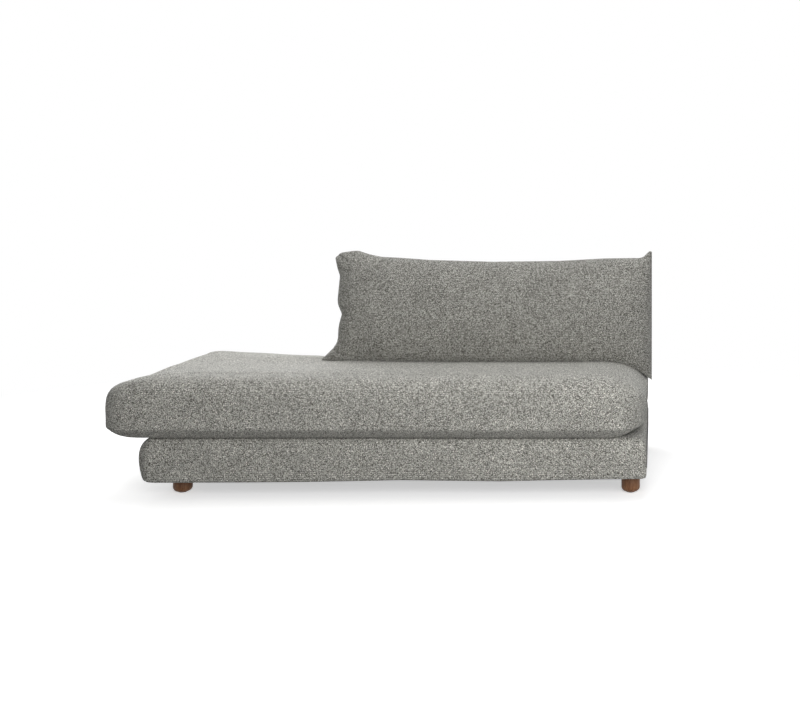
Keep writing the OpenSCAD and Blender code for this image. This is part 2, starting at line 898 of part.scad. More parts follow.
// Back cushion: a fibre-filled cover with pointed ears. Sections across its length are
// closed loops, full in the middle, thin at the end seams and flat where they rest.
loop_n = 24;
stations = [0, 0.012, 0.035, 0.075, 0.13, 0.2, 0.3, 0.5, 0.7, 0.8, 0.88, 0.94, 0.975, 0.992, 1];
end_run_open = 300;
end_run_join = 170;

function fall(d, run) = pow(max(0, 1 - d / run), 2);
function signed_pow(v, p) = sign(v) * pow(abs(v), p);

// How full the cushion is at a station, from 0 at an end seam to 1
function fullness(d_open, d_join) =
    sqrt(1 - fall(d_open, end_run_open)) * sqrt(1 - fall(d_join, end_run_join));

// Loop number s, drawn in by off all round
function back_loop(s, off) =
    let (
        x0 = back_x0 + off,
        length = back_x1 - off - x0,
        d_open = s * length,
        d_join = (1 - s) * length,
        half = (back_edge_t / 2 - off) + (back_t - back_edge_t) / 2 * fullness(d_open, d_join),
        top = back_top - off
            + ear_rise * (fall(d_open, 330) + 0.3 * fall(d_join, 500) + 0.6 * fall(d_join, 60)),
        low = rest_z + off,
        sunk = low - 36 * fullness(d_open, d_join)
    )
    [for (k = [0:loop_n - 1])
        let (
            a = 360 * (k + 0.5) / loop_n,
            z = max(low, sunk + (top - sunk) * (0.5 + 0.5 * signed_pow(sin(a), 0.62))),
            h = (z - low) / (top - low),
            y = half * (1.02 - 0.14 * h) * signed_pow(cos(a), 0.7),
            ear = ear_out * pow(h, 5) + 0.55 * ear_out * pow(1 - h, 6)
        )
        [
            x0 + d_open - ear * pow(1 - s, 10),
            back_foot_y + 0.5 * back_t + (z - low) * tan(back_lean) + y,
            z
        ]
    ];

// Triangles that close a thin end loop, between its front half and its rear half
function end_cap(start, flip) =
    [for (k = [0:loop_n / 2 - 2])
        let (
            a = start + k, b = start + k + 1,
            c = start + loop_n - 2 - k, d = start + loop_n - 1 - k
        )
        each (flip ? [[a, c, b], [a, d, c]] : [[a, b, c], [a, c, d]])];

module back_body(off) {
    loops = [for (s = stations) back_loop(s, off)];
    n = len(loops);
    polyhedron(
        points = flatten(loops),
        faces = concat(
            flatten([for (i = [0:n - 2]) strip(i, i + 1, loop_n)]),
            end_cap(0, false),
            end_cap((n - 1) * loop_n, true)
        )
    );
}

module back_fibre_fill() {
    color(wadding) back_body(cloth_t + 0.1);
}

// The back cushion's zip lies on the flat facet low on its rear face
zip_facet = [back_loop(0.5, 0)[22], back_loop(0.5, 0)[23]];
zip_place = (zip_facet[0] + zip_facet[1]) / 2;
zip_tilt = atan2(zip_facet[1].z - zip_facet[0].z, zip_facet[1].y - zip_facet[0].y) - 90;

module on_back_facet() {
    translate(zip_place) rotate([zip_tilt, 0, 0]) children();
}

module back_cushion_cover() {
    color(tweed) difference() {
        back_body(0);
        back_body(cloth_t);
        on_back_facet() zip_slot(back_zip_len);
    }
}

module back_zip() {
    color(lining) on_back_facet() zip_tapes(back_zip_len);
}

module back_zip_slider() {
    color(steel) on_back_facet() translate([-back_zip_len / 2 + 12, 0, 0]) slider();
}

base_front_rail();
base_rear_rail();
base_open_end_rail();
base_joining_rail();
base_cross_rails();
base_corner_blocks();
corner_block_screws();
leg_plates();
connector_blocks();
crosswise_webbing();
lengthwise_webbing();
deck_foam();
deck_cloth();
base_edge_padding();
base_cover();
base_dust_cloth();
joining_side_panel();
front_left_leg();
front_right_leg();
rear_left_leg();
rear_right_leg();
leg_bolts();
leg_tee_nuts();
leg_glides();
back_left_post();
back_middle_post();
back_right_post();
back_top_rail();
back_bottom_rail();
back_webbing();
back_rear_board();
back_frame_foam();
back_frame_cover();
back_frame_bolts();
back_frame_nuts();
connector_pivot_bolts();
connector_bushes();
front_connector_plate();
rear_connector_plate();
seat_foam_core();
seat_fibre_wrap();
seat_cushion_cover();
seat_zip();
seat_zip_slider();
back_fibre_fill();
back_cushion_cover();
back_zip();
back_zip_slider();
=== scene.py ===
import math

import bmesh
import bpy
import numpy as np
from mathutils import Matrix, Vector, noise


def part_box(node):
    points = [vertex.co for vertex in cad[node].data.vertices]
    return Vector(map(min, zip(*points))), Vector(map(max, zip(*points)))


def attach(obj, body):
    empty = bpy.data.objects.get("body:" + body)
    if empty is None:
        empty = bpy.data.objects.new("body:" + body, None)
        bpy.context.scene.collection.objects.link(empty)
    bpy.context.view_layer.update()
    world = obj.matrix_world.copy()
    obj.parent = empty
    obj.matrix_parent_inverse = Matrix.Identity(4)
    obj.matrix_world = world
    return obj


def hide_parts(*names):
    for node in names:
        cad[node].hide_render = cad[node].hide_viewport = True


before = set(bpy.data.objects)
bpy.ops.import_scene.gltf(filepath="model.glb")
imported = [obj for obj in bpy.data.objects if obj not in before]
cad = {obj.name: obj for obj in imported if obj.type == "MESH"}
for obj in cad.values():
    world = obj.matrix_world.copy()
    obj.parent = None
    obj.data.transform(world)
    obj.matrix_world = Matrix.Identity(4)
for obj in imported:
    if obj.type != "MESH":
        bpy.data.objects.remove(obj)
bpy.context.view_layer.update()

# Camera at the photograph's place: level, at chest height, in front of the joining end, so
# that the open end is seen from the side and the joining end nearly edge-on.
bpy.ops.object.camera_add(location=(1.020, -4.6225, 1.082), rotation=(math.radians(90), 0, 0))
camera = bpy.context.object
camera.data.sensor_width = 36
camera.data.lens = 51.12
camera.data.shift_x = -0.319
camera.data.shift_y = -0.1906
bpy.context.scene.camera = camera

# Floor and light of the studio: a white floor that runs out of view and keeps the soft
# shadow, wide lamps overhead, behind the open end and in front, and an even white room.
def linear(code):
    """An sRGB hex colour as linear red, green, blue and alpha."""
    parts = [int(code[k:k + 2], 16) / 255 for k in (1, 3, 5)]
    return tuple(c / 12.92 if c <= 0.04045 else ((c + 0.055) / 1.055) ** 2.4 for c in parts) + (1,)


def add(tree, kind, inputs, **settings):
    """Adds a node with its settings, and gives its inputs values or links."""
    made = tree.nodes.new("ShaderNode" + kind)
    for key, value in settings.items():
        setattr(made, key, value)
    for key, value in inputs.items():
        if isinstance(value, bpy.types.NodeSocket):
            tree.links.new(value, made.inputs[key])
        else:
            made.inputs[key].default_value = value
    return made


def new_material(name):
    """An empty material: its name, its node tree and its surface shader."""
    material = bpy.data.materials.new(name)
    material.use_nodes = True
    return material, material.node_tree, material.node_tree.nodes["Principled BSDF"]


bpy.ops.mesh.primitive_circle_add(vertices=96, radius=40, fill_type="NGON", location=(0, 0, 0))
floor = bpy.context.object
floor.name = "studio_floor"
floor_paint, tree, shader = new_material("white_floor_paint")
shader.inputs["Base Color"].default_value = linear("#808080")
shader.inputs["Roughness"].default_value = 0.9
path = add(tree, "LightPath", {})
seen = add(tree, "Math", {0: path.outputs["Is Camera Ray"], 1: path.outputs["Is Glossy Ray"]},
           operation="MAXIMUM")
white = add(tree, "BsdfDiffuse", {"Color": linear("#ffffff")})
lift = add(tree, "Emission", {"Color": (1, 1, 1, 1), "Strength": 0.52})
near = add(tree, "AddShader", {0: white.outputs[0], 1: lift.outputs[0]})
place = add(tree, "TexCoord", {})
reach = add(tree, "VectorMath", {0: place.outputs["Object"]}, operation="LENGTH")
edge = add(tree, "MapRange", {"Value": reach.outputs["Value"], "From Min": 1.7, "From Max": 3.2},
           interpolation_type="SMOOTHSTEP")
sweep_white = add(tree, "Emission", {"Color": (1, 1, 1, 1), "Strength": 1.0})
bright = add(tree, "MixShader", {0: edge.outputs[0], 1: near.outputs[0], 2: sweep_white.outputs[0]})
mixed = add(tree, "MixShader", {0: seen.outputs[0], 1: shader.outputs[0], 2: bright.outputs[0]})
tree.links.new(mixed.outputs[0], tree.nodes["Material Output"].inputs["Surface"])
floor.data.materials.append(floor_paint)

world = bpy.data.worlds.new("white_room")
bpy.context.scene.world = world
world.use_nodes = True
tree = world.node_tree
path = add(tree, "LightPath", {})
seen = add(tree, "Math", {0: path.outputs["Is Camera Ray"], 1: path.outputs["Is Glossy Ray"]},
           operation="MAXIMUM")
seen = add(tree, "Math", {0: seen.outputs[0], 1: path.outputs["Is Transmission Ray"]},
           operation="MAXIMUM")
room = add(tree, "Background", {"Color": (1, 1, 1, 1), "Strength": 0.25})
backdrop = add(tree, "Background", {"Color": (1, 1, 1, 1), "Strength": 1.0})
mixed = add(tree, "MixShader", {0: seen.outputs[0], 1: room.outputs[0], 2: backdrop.outputs[0]})
tree.links.new(mixed.outputs[0], tree.nodes["World Output"].inputs["Surface"])

for name, place, aim, size, power in (
    ("rear_left_lamp", (-1.6, 3.2, 1.4), (-0.4, 0.0, 0.4), (2.8, 2.2), 98),
    ("overhead_lamp", (0.2, 0.4, 3.1), (0.0, 0.0, 0.3), (2.8, 2.2), 38),
    ("low_front_lamp", (1.6, -2.4, 0.5), (0.1, 0.0, 0.3), (2.2, 1.4), 13),
    ("high_front_lamp", (1.2, -3.4, 1.6), (0.1, 0.0, 0.4), (2.2, 1.4), 48),
):
    bpy.ops.object.light_add(type="AREA", location=place)
    lamp = bpy.context.object
    lamp.name = name
    lamp.data.shape = "RECTANGLE"
    lamp.data.size, lamp.data.size_y = size
    lamp.data.energy = power
    way = np.array(place) - np.array(aim)
    lamp.rotation_euler = (
        math.atan2(math.hypot(way[0], way[1]), way[2]), 0, math.atan2(way[1], way[0]) + math.radians(90)
    )
bpy.context.scene.view_settings.view_transform = "Standard"

# Timber of the base: planed pine rails, cross rails, corner blocks and blocks for the
# connectors, glued and screwed. Pale, with long soft growth rings along each piece.
def plain_wood(name, pale, dark, along, ring, rough):
    """Planed wood with its grain along an axis, ring millimetres from ring to ring."""
    material, tree, shader = new_material(name)
    place = add(tree, "TexCoord", {})
    thin = [1.0, 1.0, 1.0]
    thin[along] = 0.06
    run = add(tree, "Mapping", {"Vector": place.outputs["Object"], "Scale": thin})
    rings = add(tree, "TexNoise", {"Vector": run.outputs[0], "Scale": 1000 / ring / 3, "Detail": 3,
                                   "Distortion": 0.6})
    fibres = add(tree, "TexNoise", {"Vector": run.outputs[0], "Scale": 1400, "Detail": 2})
    grain = add(tree, "Math", {0: rings.outputs["Fac"], 1: fibres.outputs["Fac"]}, operation="MULTIPLY_ADD")
    grain.inputs[2].default_value = -0.02
    tone = add(tree, "ValToRGB", {"Fac": grain.outputs[0]})
    low_end, high_end = tone.color_ramp.elements
    low_end.position, low_end.color = 0.12, linear(dark)
    high_end.position, high_end.color = 0.42, linear(pale)
    tree.links.new(tone.outputs[0], shader.inputs["Base Color"])
    shader.inputs["Roughness"].default_value = rough
    bump = add(tree, "Bump", {"Height": fibres.outputs["Fac"], "Distance": 0.0002, "Strength": 0.5})
    tree.links.new(bump.outputs[0], shader.inputs["Normal"])
    return material


def finish_nodes(material, slot, *names):
    """Gives CAD nodes a material."""
    for name in names:
        node = cad[name]
        if node.material_slots:
            for part in node.material_slots:
                part.material = material
        else:
            node.data.materials.append(material)


pine_x = plain_wood("planed_pine_lengthwise", "#e0bd86", "#b98c54", 0, 5, 0.6)
pine_y = plain_wood("planed_pine_crosswise", "#dfbb83", "#b88a52", 1, 5, 0.6)
finish_nodes(pine_x, "pine", "base_front_rail", "base_rear_rail", "back_top_rail", "back_bottom_rail")
finish_nodes(pine_y, "pine", "base_open_end_rail", "base_joining_rail", "base_cross_rails",
             "base_corner_blocks", "connector_blocks")
birch = plain_wood("birch_plywood", "#d9bd8f", "#b89364", 1, 9, 0.55)
finish_nodes(birch, "plywood", "leg_plates", "back_rear_board")
birch_upright = plain_wood("birch_plywood_upright", "#d9bd8f", "#b89364", 2, 9, 0.55)
finish_nodes(birch_upright, "plywood", "back_left_post", "back_middle_post", "back_right_post")

# Screws, bolts, nuts, bushes and connector plates: zinc-plated steel, passivated to a
# slightly blue satin grey with a fine cloudy film.
zinc, tree, shader = new_material("zinc_plated_steel")
place = add(tree, "TexCoord", {})
film = add(tree, "TexNoise", {"Vector": place.outputs["Object"], "Scale": 160, "Detail": 3})
tone = add(tree, "ValToRGB", {"Fac": film.outputs["Fac"]})
low_end, high_end = tone.color_ramp.elements
low_end.position, low_end.color = 0.35, linear("#a9adb2")
high_end.position, high_end.color = 0.65, linear("#c3c6c9")
tree.links.new(tone.outputs[0], shader.inputs["Base Color"])
shader.inputs["Metallic"].default_value = 1
worn = add(tree, "MapRange", {"Value": film.outputs["Fac"], "To Min": 0.28, "To Max": 0.45})
tree.links.new(worn.outputs[0], shader.inputs["Roughness"])
finish_nodes(zinc, "steel", "corner_block_screws", "leg_bolts", "leg_tee_nuts", "back_frame_bolts",
             "back_frame_nuts", "connector_pivot_bolts", "connector_bushes",
             "front_connector_plate", "rear_connector_plate")

# Four turned legs of beech, stained walnut brown under a satin lacquer, with upright grain;
# each stands on a black moulded glide.
walnut, tree, shader = new_material("walnut_stained_beech")
place = add(tree, "TexCoord", {})
run = add(tree, "Mapping", {"Vector": place.outputs["Object"], "Scale": (1, 1, 0.08)})
rings = add(tree, "TexNoise", {"Vector": run.outputs[0], "Scale": 130, "Detail": 4, "Distortion": 0.8})
pores = add(tree, "TexNoise", {"Vector": run.outputs[0], "Scale": 1100, "Detail": 2})
grain = add(tree, "Math", {0: rings.outputs["Fac"], 1: pores.outputs["Fac"]}, operation="MULTIPLY")
tone = add(tree, "ValToRGB", {"Fac": grain.outputs[0]})
low_end, high_end = tone.color_ramp.elements
low_end.position, low_end.color = 0.14, linear("#6b4328")
high_end.position, high_end.color = 0.40, linear("#a87b58")
tree.links.new(tone.outputs[0], shader.inputs["Base Color"])
shader.inputs["Roughness"].default_value = 0.5
bump = add(tree, "Bump", {"Height": pores.outputs["Fac"], "Distance": 0.0003, "Strength": 0.4})
tree.links.new(bump.outputs[0], shader.inputs["Normal"])
shader.inputs["Specular IOR Level"].default_value = 0.3
shader.inputs["Coat Weight"].default_value = 0.1
shader.inputs["Coat Roughness"].default_value = 0.3
foot_round, head_round = 0.018, 0.001
for name in ("front_left_leg", "front_right_leg", "rear_left_leg", "rear_right_leg"):
    bpy.ops.object.select_all(action="DESELECT")
    low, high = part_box(name)
    bpy.ops.mesh.primitive_cylinder_add(vertices=96, radius=(high.x - low.x) / 2,
                                        depth=high.z - low.z, location=(low + high) / 2)
    leg = bpy.context.object
    leg.name = leg.data.name = name + "_turned"
    bpy.ops.object.transform_apply(location=True, rotation=True, scale=True)
    bm = bmesh.new()
    bm.from_mesh(leg.data)
    foot_edges = [e for e in bm.edges if all(v.co.z < low.z + 0.001 for v in e.verts)]
    bmesh.ops.bevel(bm, geom=foot_edges, offset=foot_round, segments=10, profile=0.5, affect="EDGES")
    head_edges = [e for e in bm.edges if all(v.co.z > high.z - 0.001 for v in e.verts)]
    bmesh.ops.bevel(bm, geom=head_edges, offset=head_round, segments=2, profile=0.5, affect="EDGES")
    bm.to_mesh(leg.data)
    bm.free()
    leg.data.materials.append(walnut)
    leg.data.shade_smooth()
    leg.data.set_sharp_from_angle(angle=math.radians(40))
    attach(leg, "base")
    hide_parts(name)

glide, tree, shader = new_material("black_moulded_polyethylene")
place = add(tree, "TexCoord", {})
spark = add(tree, "TexNoise", {"Vector": place.outputs["Object"], "Scale": 900, "Detail": 2})
tone = add(tree, "ValToRGB", {"Fac": spark.outputs["Fac"]})
low_end, high_end = tone.color_ramp.elements
low_end.color, high_end.color = linear("#1c1c1d"), linear("#2c2c2e")
tree.links.new(tone.outputs[0], shader.inputs["Base Color"])
shader.inputs["Roughness"].default_value = 0.5
bump = add(tree, "Bump", {"Height": spark.outputs["Fac"], "Distance": 0.0001, "Strength": 0.5})
tree.links.new(bump.outputs[0], shader.inputs["Normal"])
finish_nodes(glide, "glide", "leg_glides")

# Elastic webbing under the deck: eleven straps crosswise and six lengthwise, woven over and
# under each other and stapled to the rails. Each strap is 60 mm of ribbed black elastic.
def smooth_run(points, spacing):
    """Points along a smooth curve through the given points, about spacing apart."""
    p = np.asarray(points, float)
    before = np.vstack([2 * p[0] - p[1], p[:-1]])
    after = np.vstack([p[1:], 2 * p[-1] - p[-2]])
    slope = (after - before) / 2
    out = []
    for k in range(len(p) - 1):
        reach = np.linalg.norm(p[k + 1] - p[k])
        lean_a = slope[k] * reach / max(np.linalg.norm(slope[k]), 1e-9)
        lean_b = slope[k + 1] * reach / max(np.linalg.norm(slope[k + 1]), 1e-9)
        for t in np.arange(max(1, round(reach / spacing))) / max(1, round(reach / spacing)):
            out.append((2 * t**3 - 3 * t**2 + 1) * p[k] + (t**3 - 2 * t**2 + t) * lean_a
                       + (3 * t**2 - 2 * t**3) * p[k + 1] + (t**3 - t**2) * lean_b)
    return np.array(out + [p[-1]])


def make_piece(name, points, faces, material, body):
    """A new mesh piece that rides on a body."""
    mesh = bpy.data.meshes.new(name)
    mesh.from_pydata([tuple(map(float, p)) for p in points], [], faces)
    mesh.materials.append(material)
    mesh.validate()
    piece = bpy.data.objects.new(name, mesh)
    bpy.context.collection.objects.link(piece)
    mesh.shade_smooth()
    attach(piece, body)
    return piece


elastic, tree, shader = new_material("ribbed_elastic_webbing")
# a wave of this scale has one band to the metre
one_band = 0.314
place = add(tree, "TexCoord", {})
ribs = add(tree, "TexWave", {"Vector": place.outputs["UV"], "Scale": one_band / 0.0022}, bands_direction="X")
warp = add(tree, "TexWave", {"Vector": place.outputs["UV"], "Scale": one_band / 0.0016}, bands_direction="Y")
weave = add(tree, "Math", {0: ribs.outputs["Fac"], 1: warp.outputs["Fac"]}, operation="MULTIPLY")
tone = add(tree, "ValToRGB", {"Fac": weave.outputs[0]})
low_end, high_end = tone.color_ramp.elements
low_end.color, high_end.color = linear("#1d1d20"), linear("#4a4a50")
tree.links.new(tone.outputs[0], shader.inputs["Base Color"])
shader.inputs["Roughness"].default_value = 0.85
bump = add(tree, "Bump", {"Height": weave.outputs[0], "Distance": 0.0004, "Strength": 0.7})
tree.links.new(bump.outputs[0], shader.inputs["Normal"])


def strap_group(name, runs, body, *nodes):
    """Straps as one piece: each run is its curve, the way across it and the way out of it."""
    points, faces, unwrapped = [], [], []
    # section of a strap in millimetres: 60 wide, 2 thick, with broken corners
    edge = [(-30, -0.6), (-29.4, -1), (29.4, -1), (30, -0.6), (30, 0.6), (29.4, 1), (-29.4, 1), (-30, 0.6)]
    sides = len(edge)
    for curve, across, out in runs:
        first, gone = len(points), 0
        for k, p in enumerate(curve):
            gone += np.linalg.norm(p - curve[k - 1]) if k else 0
            for a, o in edge:
                points.append(p + across * a / 1000 + out * o / 1000)
                unwrapped.append((gone, a / 1000))
        for k in range(len(curve) - 1):
            here, ahead = first + sides * k, first + sides * (k + 1)
            for j in range(sides):
                i = (j + 1) % sides
                faces.append((here + j, here + i, ahead + i, ahead + j))
        faces.append(tuple(range(first + sides - 1, first - 1, -1)))
        last = first + sides * (len(curve) - 1)
        faces.append(tuple(range(last, last + sides)))
    piece = make_piece(name, points, faces, elastic, body)
    flat = piece.data.uv_layers.new(name="run")
    corners = np.zeros(len(piece.data.loops), int)
    piece.data.loops.foreach_get("vertex_index", corners)
    flat.data.foreach_set("uv", np.array(unwrapped)[corners].ravel())
    bm = bmesh.new()
    bm.from_mesh(piece.data)
    bmesh.ops.recalc_face_normals(bm, faces=bm.faces)
    bm.to_mesh(piece.data)
    bm.free()
    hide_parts(*nodes)
    return piece


rail_top, strap_half, strap_mid = 0.196, 0.001, 0.0024
cross_xs = np.linspace(-0.700, 0.900, 11)
long_ys = np.linspace(-0.3805, 0.2695, 6)


def woven_run(start, end, crossings, parity):
    """Side view of a strap: flat on the rails, then over and under the crossing straps."""
    on_rail, half_crossing, over = 0.024, 0.029, 0.00125
    height = [(start, strap_half), (start + on_rail, strap_half)]
    for k, c in enumerate(crossings):
        z = strap_mid + (over if (k + parity) % 2 == 0 else -over)
        height += [(c - half_crossing, z), (c + half_crossing, z)]
    height += [(end - on_rail, strap_half), (end, strap_half)]
    return smooth_run(height, 0.03)


x_way, y_way, z_way = np.eye(3)
strap_group("crosswise_elastic_straps",
            [([np.array([x, y, rail_top + z]) for y, z in woven_run(-0.4485, 0.4985, long_ys, i)],
              x_way, z_way) for i, x in enumerate(cross_xs)], "base", "crosswise_webbing")
strap_group("lengthwise_elastic_straps",
            [([np.array([x, y, rail_top + z]) for x, z in woven_run(-0.846, 0.964, cross_xs, j + 1)],
              y_way, z_way) for j, y in enumerate(long_ys)], "base", "lengthwise_webbing")

# Upholstery of the base: tweed pulled over a foam roll on the rails, turned in on the deck
# above and under the rails below. Its lower edge waves a little where the cloth is slack,
# and is pulled level at the joining end, where the connector links swing out below it.
def tweed(name, rows, painted_light_level, seams=()):
    """Wool and viscose tweed of pale, middle and dark slubs, with threads in rows and seams; its whole
    colour is scaled by a level that paints light or shade onto the piece it covers.
    """
    stray, slub, weft_pitch, warp_pitch = 0.0012, 0.0017, 0.0072, 0.0053
    material, tree, shader = new_material(name)
    place = add(tree, "TexCoord", {})
    stir = add(tree, "TexNoise", {"Vector": place.outputs["Object"], "Scale": 380, "Detail": 1})
    off = add(tree, "VectorMath", {0: stir.outputs["Color"], 1: (0.5, 0.5, 0.5)}, operation="SUBTRACT")
    moved = add(tree, "VectorMath", {0: off.outputs[0], 1: (stray, stray, stray),
                                     2: place.outputs["Object"]}, operation="MULTIPLY_ADD")
    stretched = add(tree, "Mapping", {"Vector": moved.outputs[0], "Scale": (0.86, 0.86, 1.12)})
    slubs = add(tree, "TexVoronoi", {"Vector": stretched.outputs[0], "Scale": 1 / slub,
                                     "Randomness": 0.85})
    parts = add(tree, "SeparateColor", {0: slubs.outputs["Color"]})
    tone = add(tree, "ValToRGB", {"Fac": parts.outputs[0]})
    low_end, high_end = tone.color_ramp.elements
    low_end.color, high_end.color = linear("#26241f"), linear("#f9f8f0")
    for where, code in ((0.25, "#535149"), (0.5, "#92908a"), (0.75, "#c9c8c0")):
        tone.color_ramp.elements.new(where).color = linear(code)
    fibres = add(tree, "TexNoise", {"Vector": place.outputs["Object"], "Scale": 900, "Detail": 2})
    cloud = add(tree, "TexNoise", {"Vector": place.outputs["Object"], "Scale": 9, "Detail": 2})
    shade = add(tree, "MapRange", {"Value": fibres.outputs["Fac"], "From Min": 0.3, "From Max": 0.7,
                                   "To Min": 0.82, "To Max": 1.14})
    # a slow random drift of tone, times the level: above 1 the cloth is painted lighter, below 1 painted
    # darker, so each piece gets a lit or shaded copy of one cloth
    drift_and_painted_light = add(tree, "MapRange", {"Value": cloud.outputs["Fac"], "From Min": 0.3, "From Max": 0.7,
                                   "To Min": 0.94 * painted_light_level, "To Max": 1.06 * painted_light_level})
    level = add(tree, "Math", {0: shade.outputs[0], 1: drift_and_painted_light.outputs[0]}, operation="MULTIPLY")
    round_slubs = add(tree, "MapRange", {"Value": slubs.outputs["Distance"], "From Max": 0.75,
                                         "To Min": 1.0, "To Max": 0.0})
    height = add(tree, "Math", {0: fibres.outputs["Fac"], 1: 0.25, 2: round_slubs.outputs[0]},
                 operation="MULTIPLY_ADD")
    if rows > 0:
        flat, tall = [add(tree, "TexWave", {"Vector": moved.outputs[0], "Scale": one_band / weft_pitch,
                                            "Distortion": 0.6, "Detail": 1, "Detail Scale": 3},
                          bands_direction=axis) for axis in "YZ"]
        upright = add(tree, "Attribute", {}, attribute_name="upright")
        weft = add(tree, "Mix", {0: upright.outputs["Fac"], 2: flat.outputs["Fac"], 3: tall.outputs["Fac"]})
        turned = add(tree, "Mapping", {"Vector": moved.outputs[0], "Rotation": (0, 0, math.radians(45))})
        warp = add(tree, "TexWave", {"Vector": turned.outputs[0], "Scale": one_band / warp_pitch,
                                     "Distortion": 1.2, "Detail": 1, "Detail Scale": 3}, bands_direction="X")
        threads = add(tree, "Math", {0: warp.outputs["Fac"], 1: 0.45, 2: weft.outputs[0]},
                      operation="MULTIPLY_ADD")
        line = add(tree, "MapRange", {"Value": threads.outputs[0], "From Max": 1.45,
                                      "To Min": 1 - rows, "To Max": 1 + 0.75 * rows})
        level = add(tree, "Math", {0: level.outputs[0], 1: line.outputs[0]}, operation="MULTIPLY")
        height = add(tree, "Math", {0: threads.outputs[0], 1: 0.8 * rows, 2: height.outputs[0]},
                     operation="MULTIPLY_ADD")
    for axis, at in seams:
        split = add(tree, "SeparateXYZ", {0: place.outputs["Object"]})
        near = add(tree, "Math", {0: split.outputs[axis], 1: at, 2: 0.0016}, operation="COMPARE")
        cut = add(tree, "MapRange", {"Value": near.outputs[0], "To Min": 1.0, "To Max": 0.45})
        level = add(tree, "Math", {0: level.outputs[0], 1: cut.outputs[0]}, operation="MULTIPLY")
        height = add(tree, "Math", {0: near.outputs[0], 1: -1.5, 2: height.outputs[0]},
                     operation="MULTIPLY_ADD")
    cloth = add(tree, "VectorMath", {0: tone.outputs[0], "Scale": level.outputs[0]}, operation="SCALE")
    tree.links.new(cloth.outputs[0], shader.inputs["Base Color"])
    shader.inputs["Roughness"].default_value = 0.92
    bump = add(tree, "Bump", {"Height": height.outputs[0], "Distance": 0.0007, "Strength": 0.6})
    tree.links.new(bump.outputs[0], shader.inputs["Normal"])
    shader.inputs["Specular IOR Level"].default_value = 0.2
    shader.inputs["Sheen Weight"].default_value = 0.18
    shader.inputs["Sheen Roughness"].default_value = 0.6
    return material


def plan_ring(plan, inset, tight=0.0):
    """Points round a plan of square corners (x, y, radius, draw-in, points on the next edge),
    moved inwards; with a tight radius for all corners where one is given."""
    ring = []
    count = len(plan)
    spots = [np.array(c[:2]) for c in plan]
    ways = [(spots[(k + 1) % count] - spots[k]) for k in range(count)]
    ways = [w / np.linalg.norm(w) for w in ways]
    inward = [np.array([-w[1], w[0]]) for w in ways]
    moved, radii = [], []
    for k in range(count):
        moved.append(spots[k] + inset * (inward[k - 1] + inward[k]))
        turn = ways[k - 1][0] * ways[k][1] - ways[k - 1][1] * ways[k][0]
        r = plan[k][2]
        radii.append(tight if tight > 0 else (max(r - inset, 0.3 * r) if turn > 0 else r + 0.35 * inset))
    for k in range(count):
        j = (k + 1) % count
        a, b, r = ways[k - 1], ways[k], radii[k]
        centre = moved[k] - r * a + r * b
        for step in range(11):
            angle = math.pi / 20 * step
            ring.append(centre - r * math.cos(angle) * b + r * math.sin(angle) * a)
        start, end = moved[k] + r * b, moved[j] - radii[j] * b
        for step in range(1, plan[k][4] + 1):
            t = step / (plan[k][4] + 1)
            draw = 0 if tight > 0 else plan[k][3]
            ring.append(start + (end - start) * t + inward[k] * draw * math.sin(math.pi * t))
    return np.array(ring)


def sweep(plan, profile, closed, tight=()):
    """Points, faces and points a ring of a profile of (inset, height) swept round a plan."""
    rings = []
    for k, (inset, z) in enumerate(profile):
        ring = plan_ring(plan, inset, 0.004 if k in tight else 0)
        rings.append(np.column_stack([ring, np.full(len(ring), z)]))
    m, n = len(rings[0]), len(rings)
    faces = []
    for i in range(n if closed else n - 1):
        j = (i + 1) % n
        for k in range(m):
            q = (k + 1) % m
            faces.append((i * m + k, i * m + q, j * m + q, j * m + k))
    return np.vstack(rings), faces, m


def soft_step(value, low, high):
    """0 below low, 1 above high, and an even slope between."""
    t = np.clip((value - low) / (high - low), 0, 1)
    return t * t * (3 - 2 * t)


def soft_table(value, places, heights):
    """A table read without kinks: its straight runs are averaged over 60 mm."""
    return sum(np.interp(value + shift, places, heights) for shift in np.linspace(-0.03, 0.03, 7)) / 7


def mark_upright(piece):
    """Tells the cloth where the piece is upright and where it lies flat, for its rows of weft."""
    normals = np.zeros(len(piece.data.vertices) * 3)
    piece.data.vertex_normals.foreach_get("vector", normals)
    mark = piece.data.attributes.new("upright", "FLOAT", "POINT")
    mark.data.foreach_set("value", 1 - soft_step(np.abs(normals[2::3]), 0.5, 0.85))


base_x0, base_x1, base_y0, base_y1 = -0.870, 0.988, -0.4725, 0.5225
base_plan = [(base_x0, base_y0, 0.055, 0, 150), (base_x1, base_y0, 0.025, 0, 84),
             (base_x1, base_y1, 0.025, 0, 150), (base_x0, base_y1, 0.055, 0, 84)]
outside = smooth_run([(0.050, 0.0712), (0.030, 0.0710), (0.009, 0.0711), (0.003, 0.0732), (0.0006, 0.080),
                      (0, 0.105), (0, 0.150), (0.001, 0.178), (0.005, 0.196), (0.014, 0.2105),
                      (0.028, 0.2185), (0.045, 0.2220), (0.060, 0.2222), (0.075, 0.2222)], 0.007)
slope = np.gradient(outside, axis=0)
slope /= np.linalg.norm(slope, axis=1)[:, None]
cloth_thick = 0.0026
inside = outside + cloth_thick * np.column_stack([slope[:, 1], -slope[:, 0]])
points, faces, m = sweep(base_plan, np.vstack([outside, inside[::-1]]), True)
low_edge_x = (-0.90, -0.825, -0.459, -0.277, -0.094, 0.0885, 0.271, 0.454, 0.636, 0.819, 1.0)
low_edge_dz = (-0.0130, -0.0134, -0.0123, -0.0108, -0.0076, -0.0039, -0.0061, -0.0083, -0.0043,
               -0.0010, 0.0008)
outline = plan_ring(base_plan, 0)
along = np.roll(outline, -1, axis=0) - np.roll(outline, 1, axis=0)
outward = np.column_stack([along[:, 1], -along[:, 0]]) / np.linalg.norm(along, axis=1)[:, None]
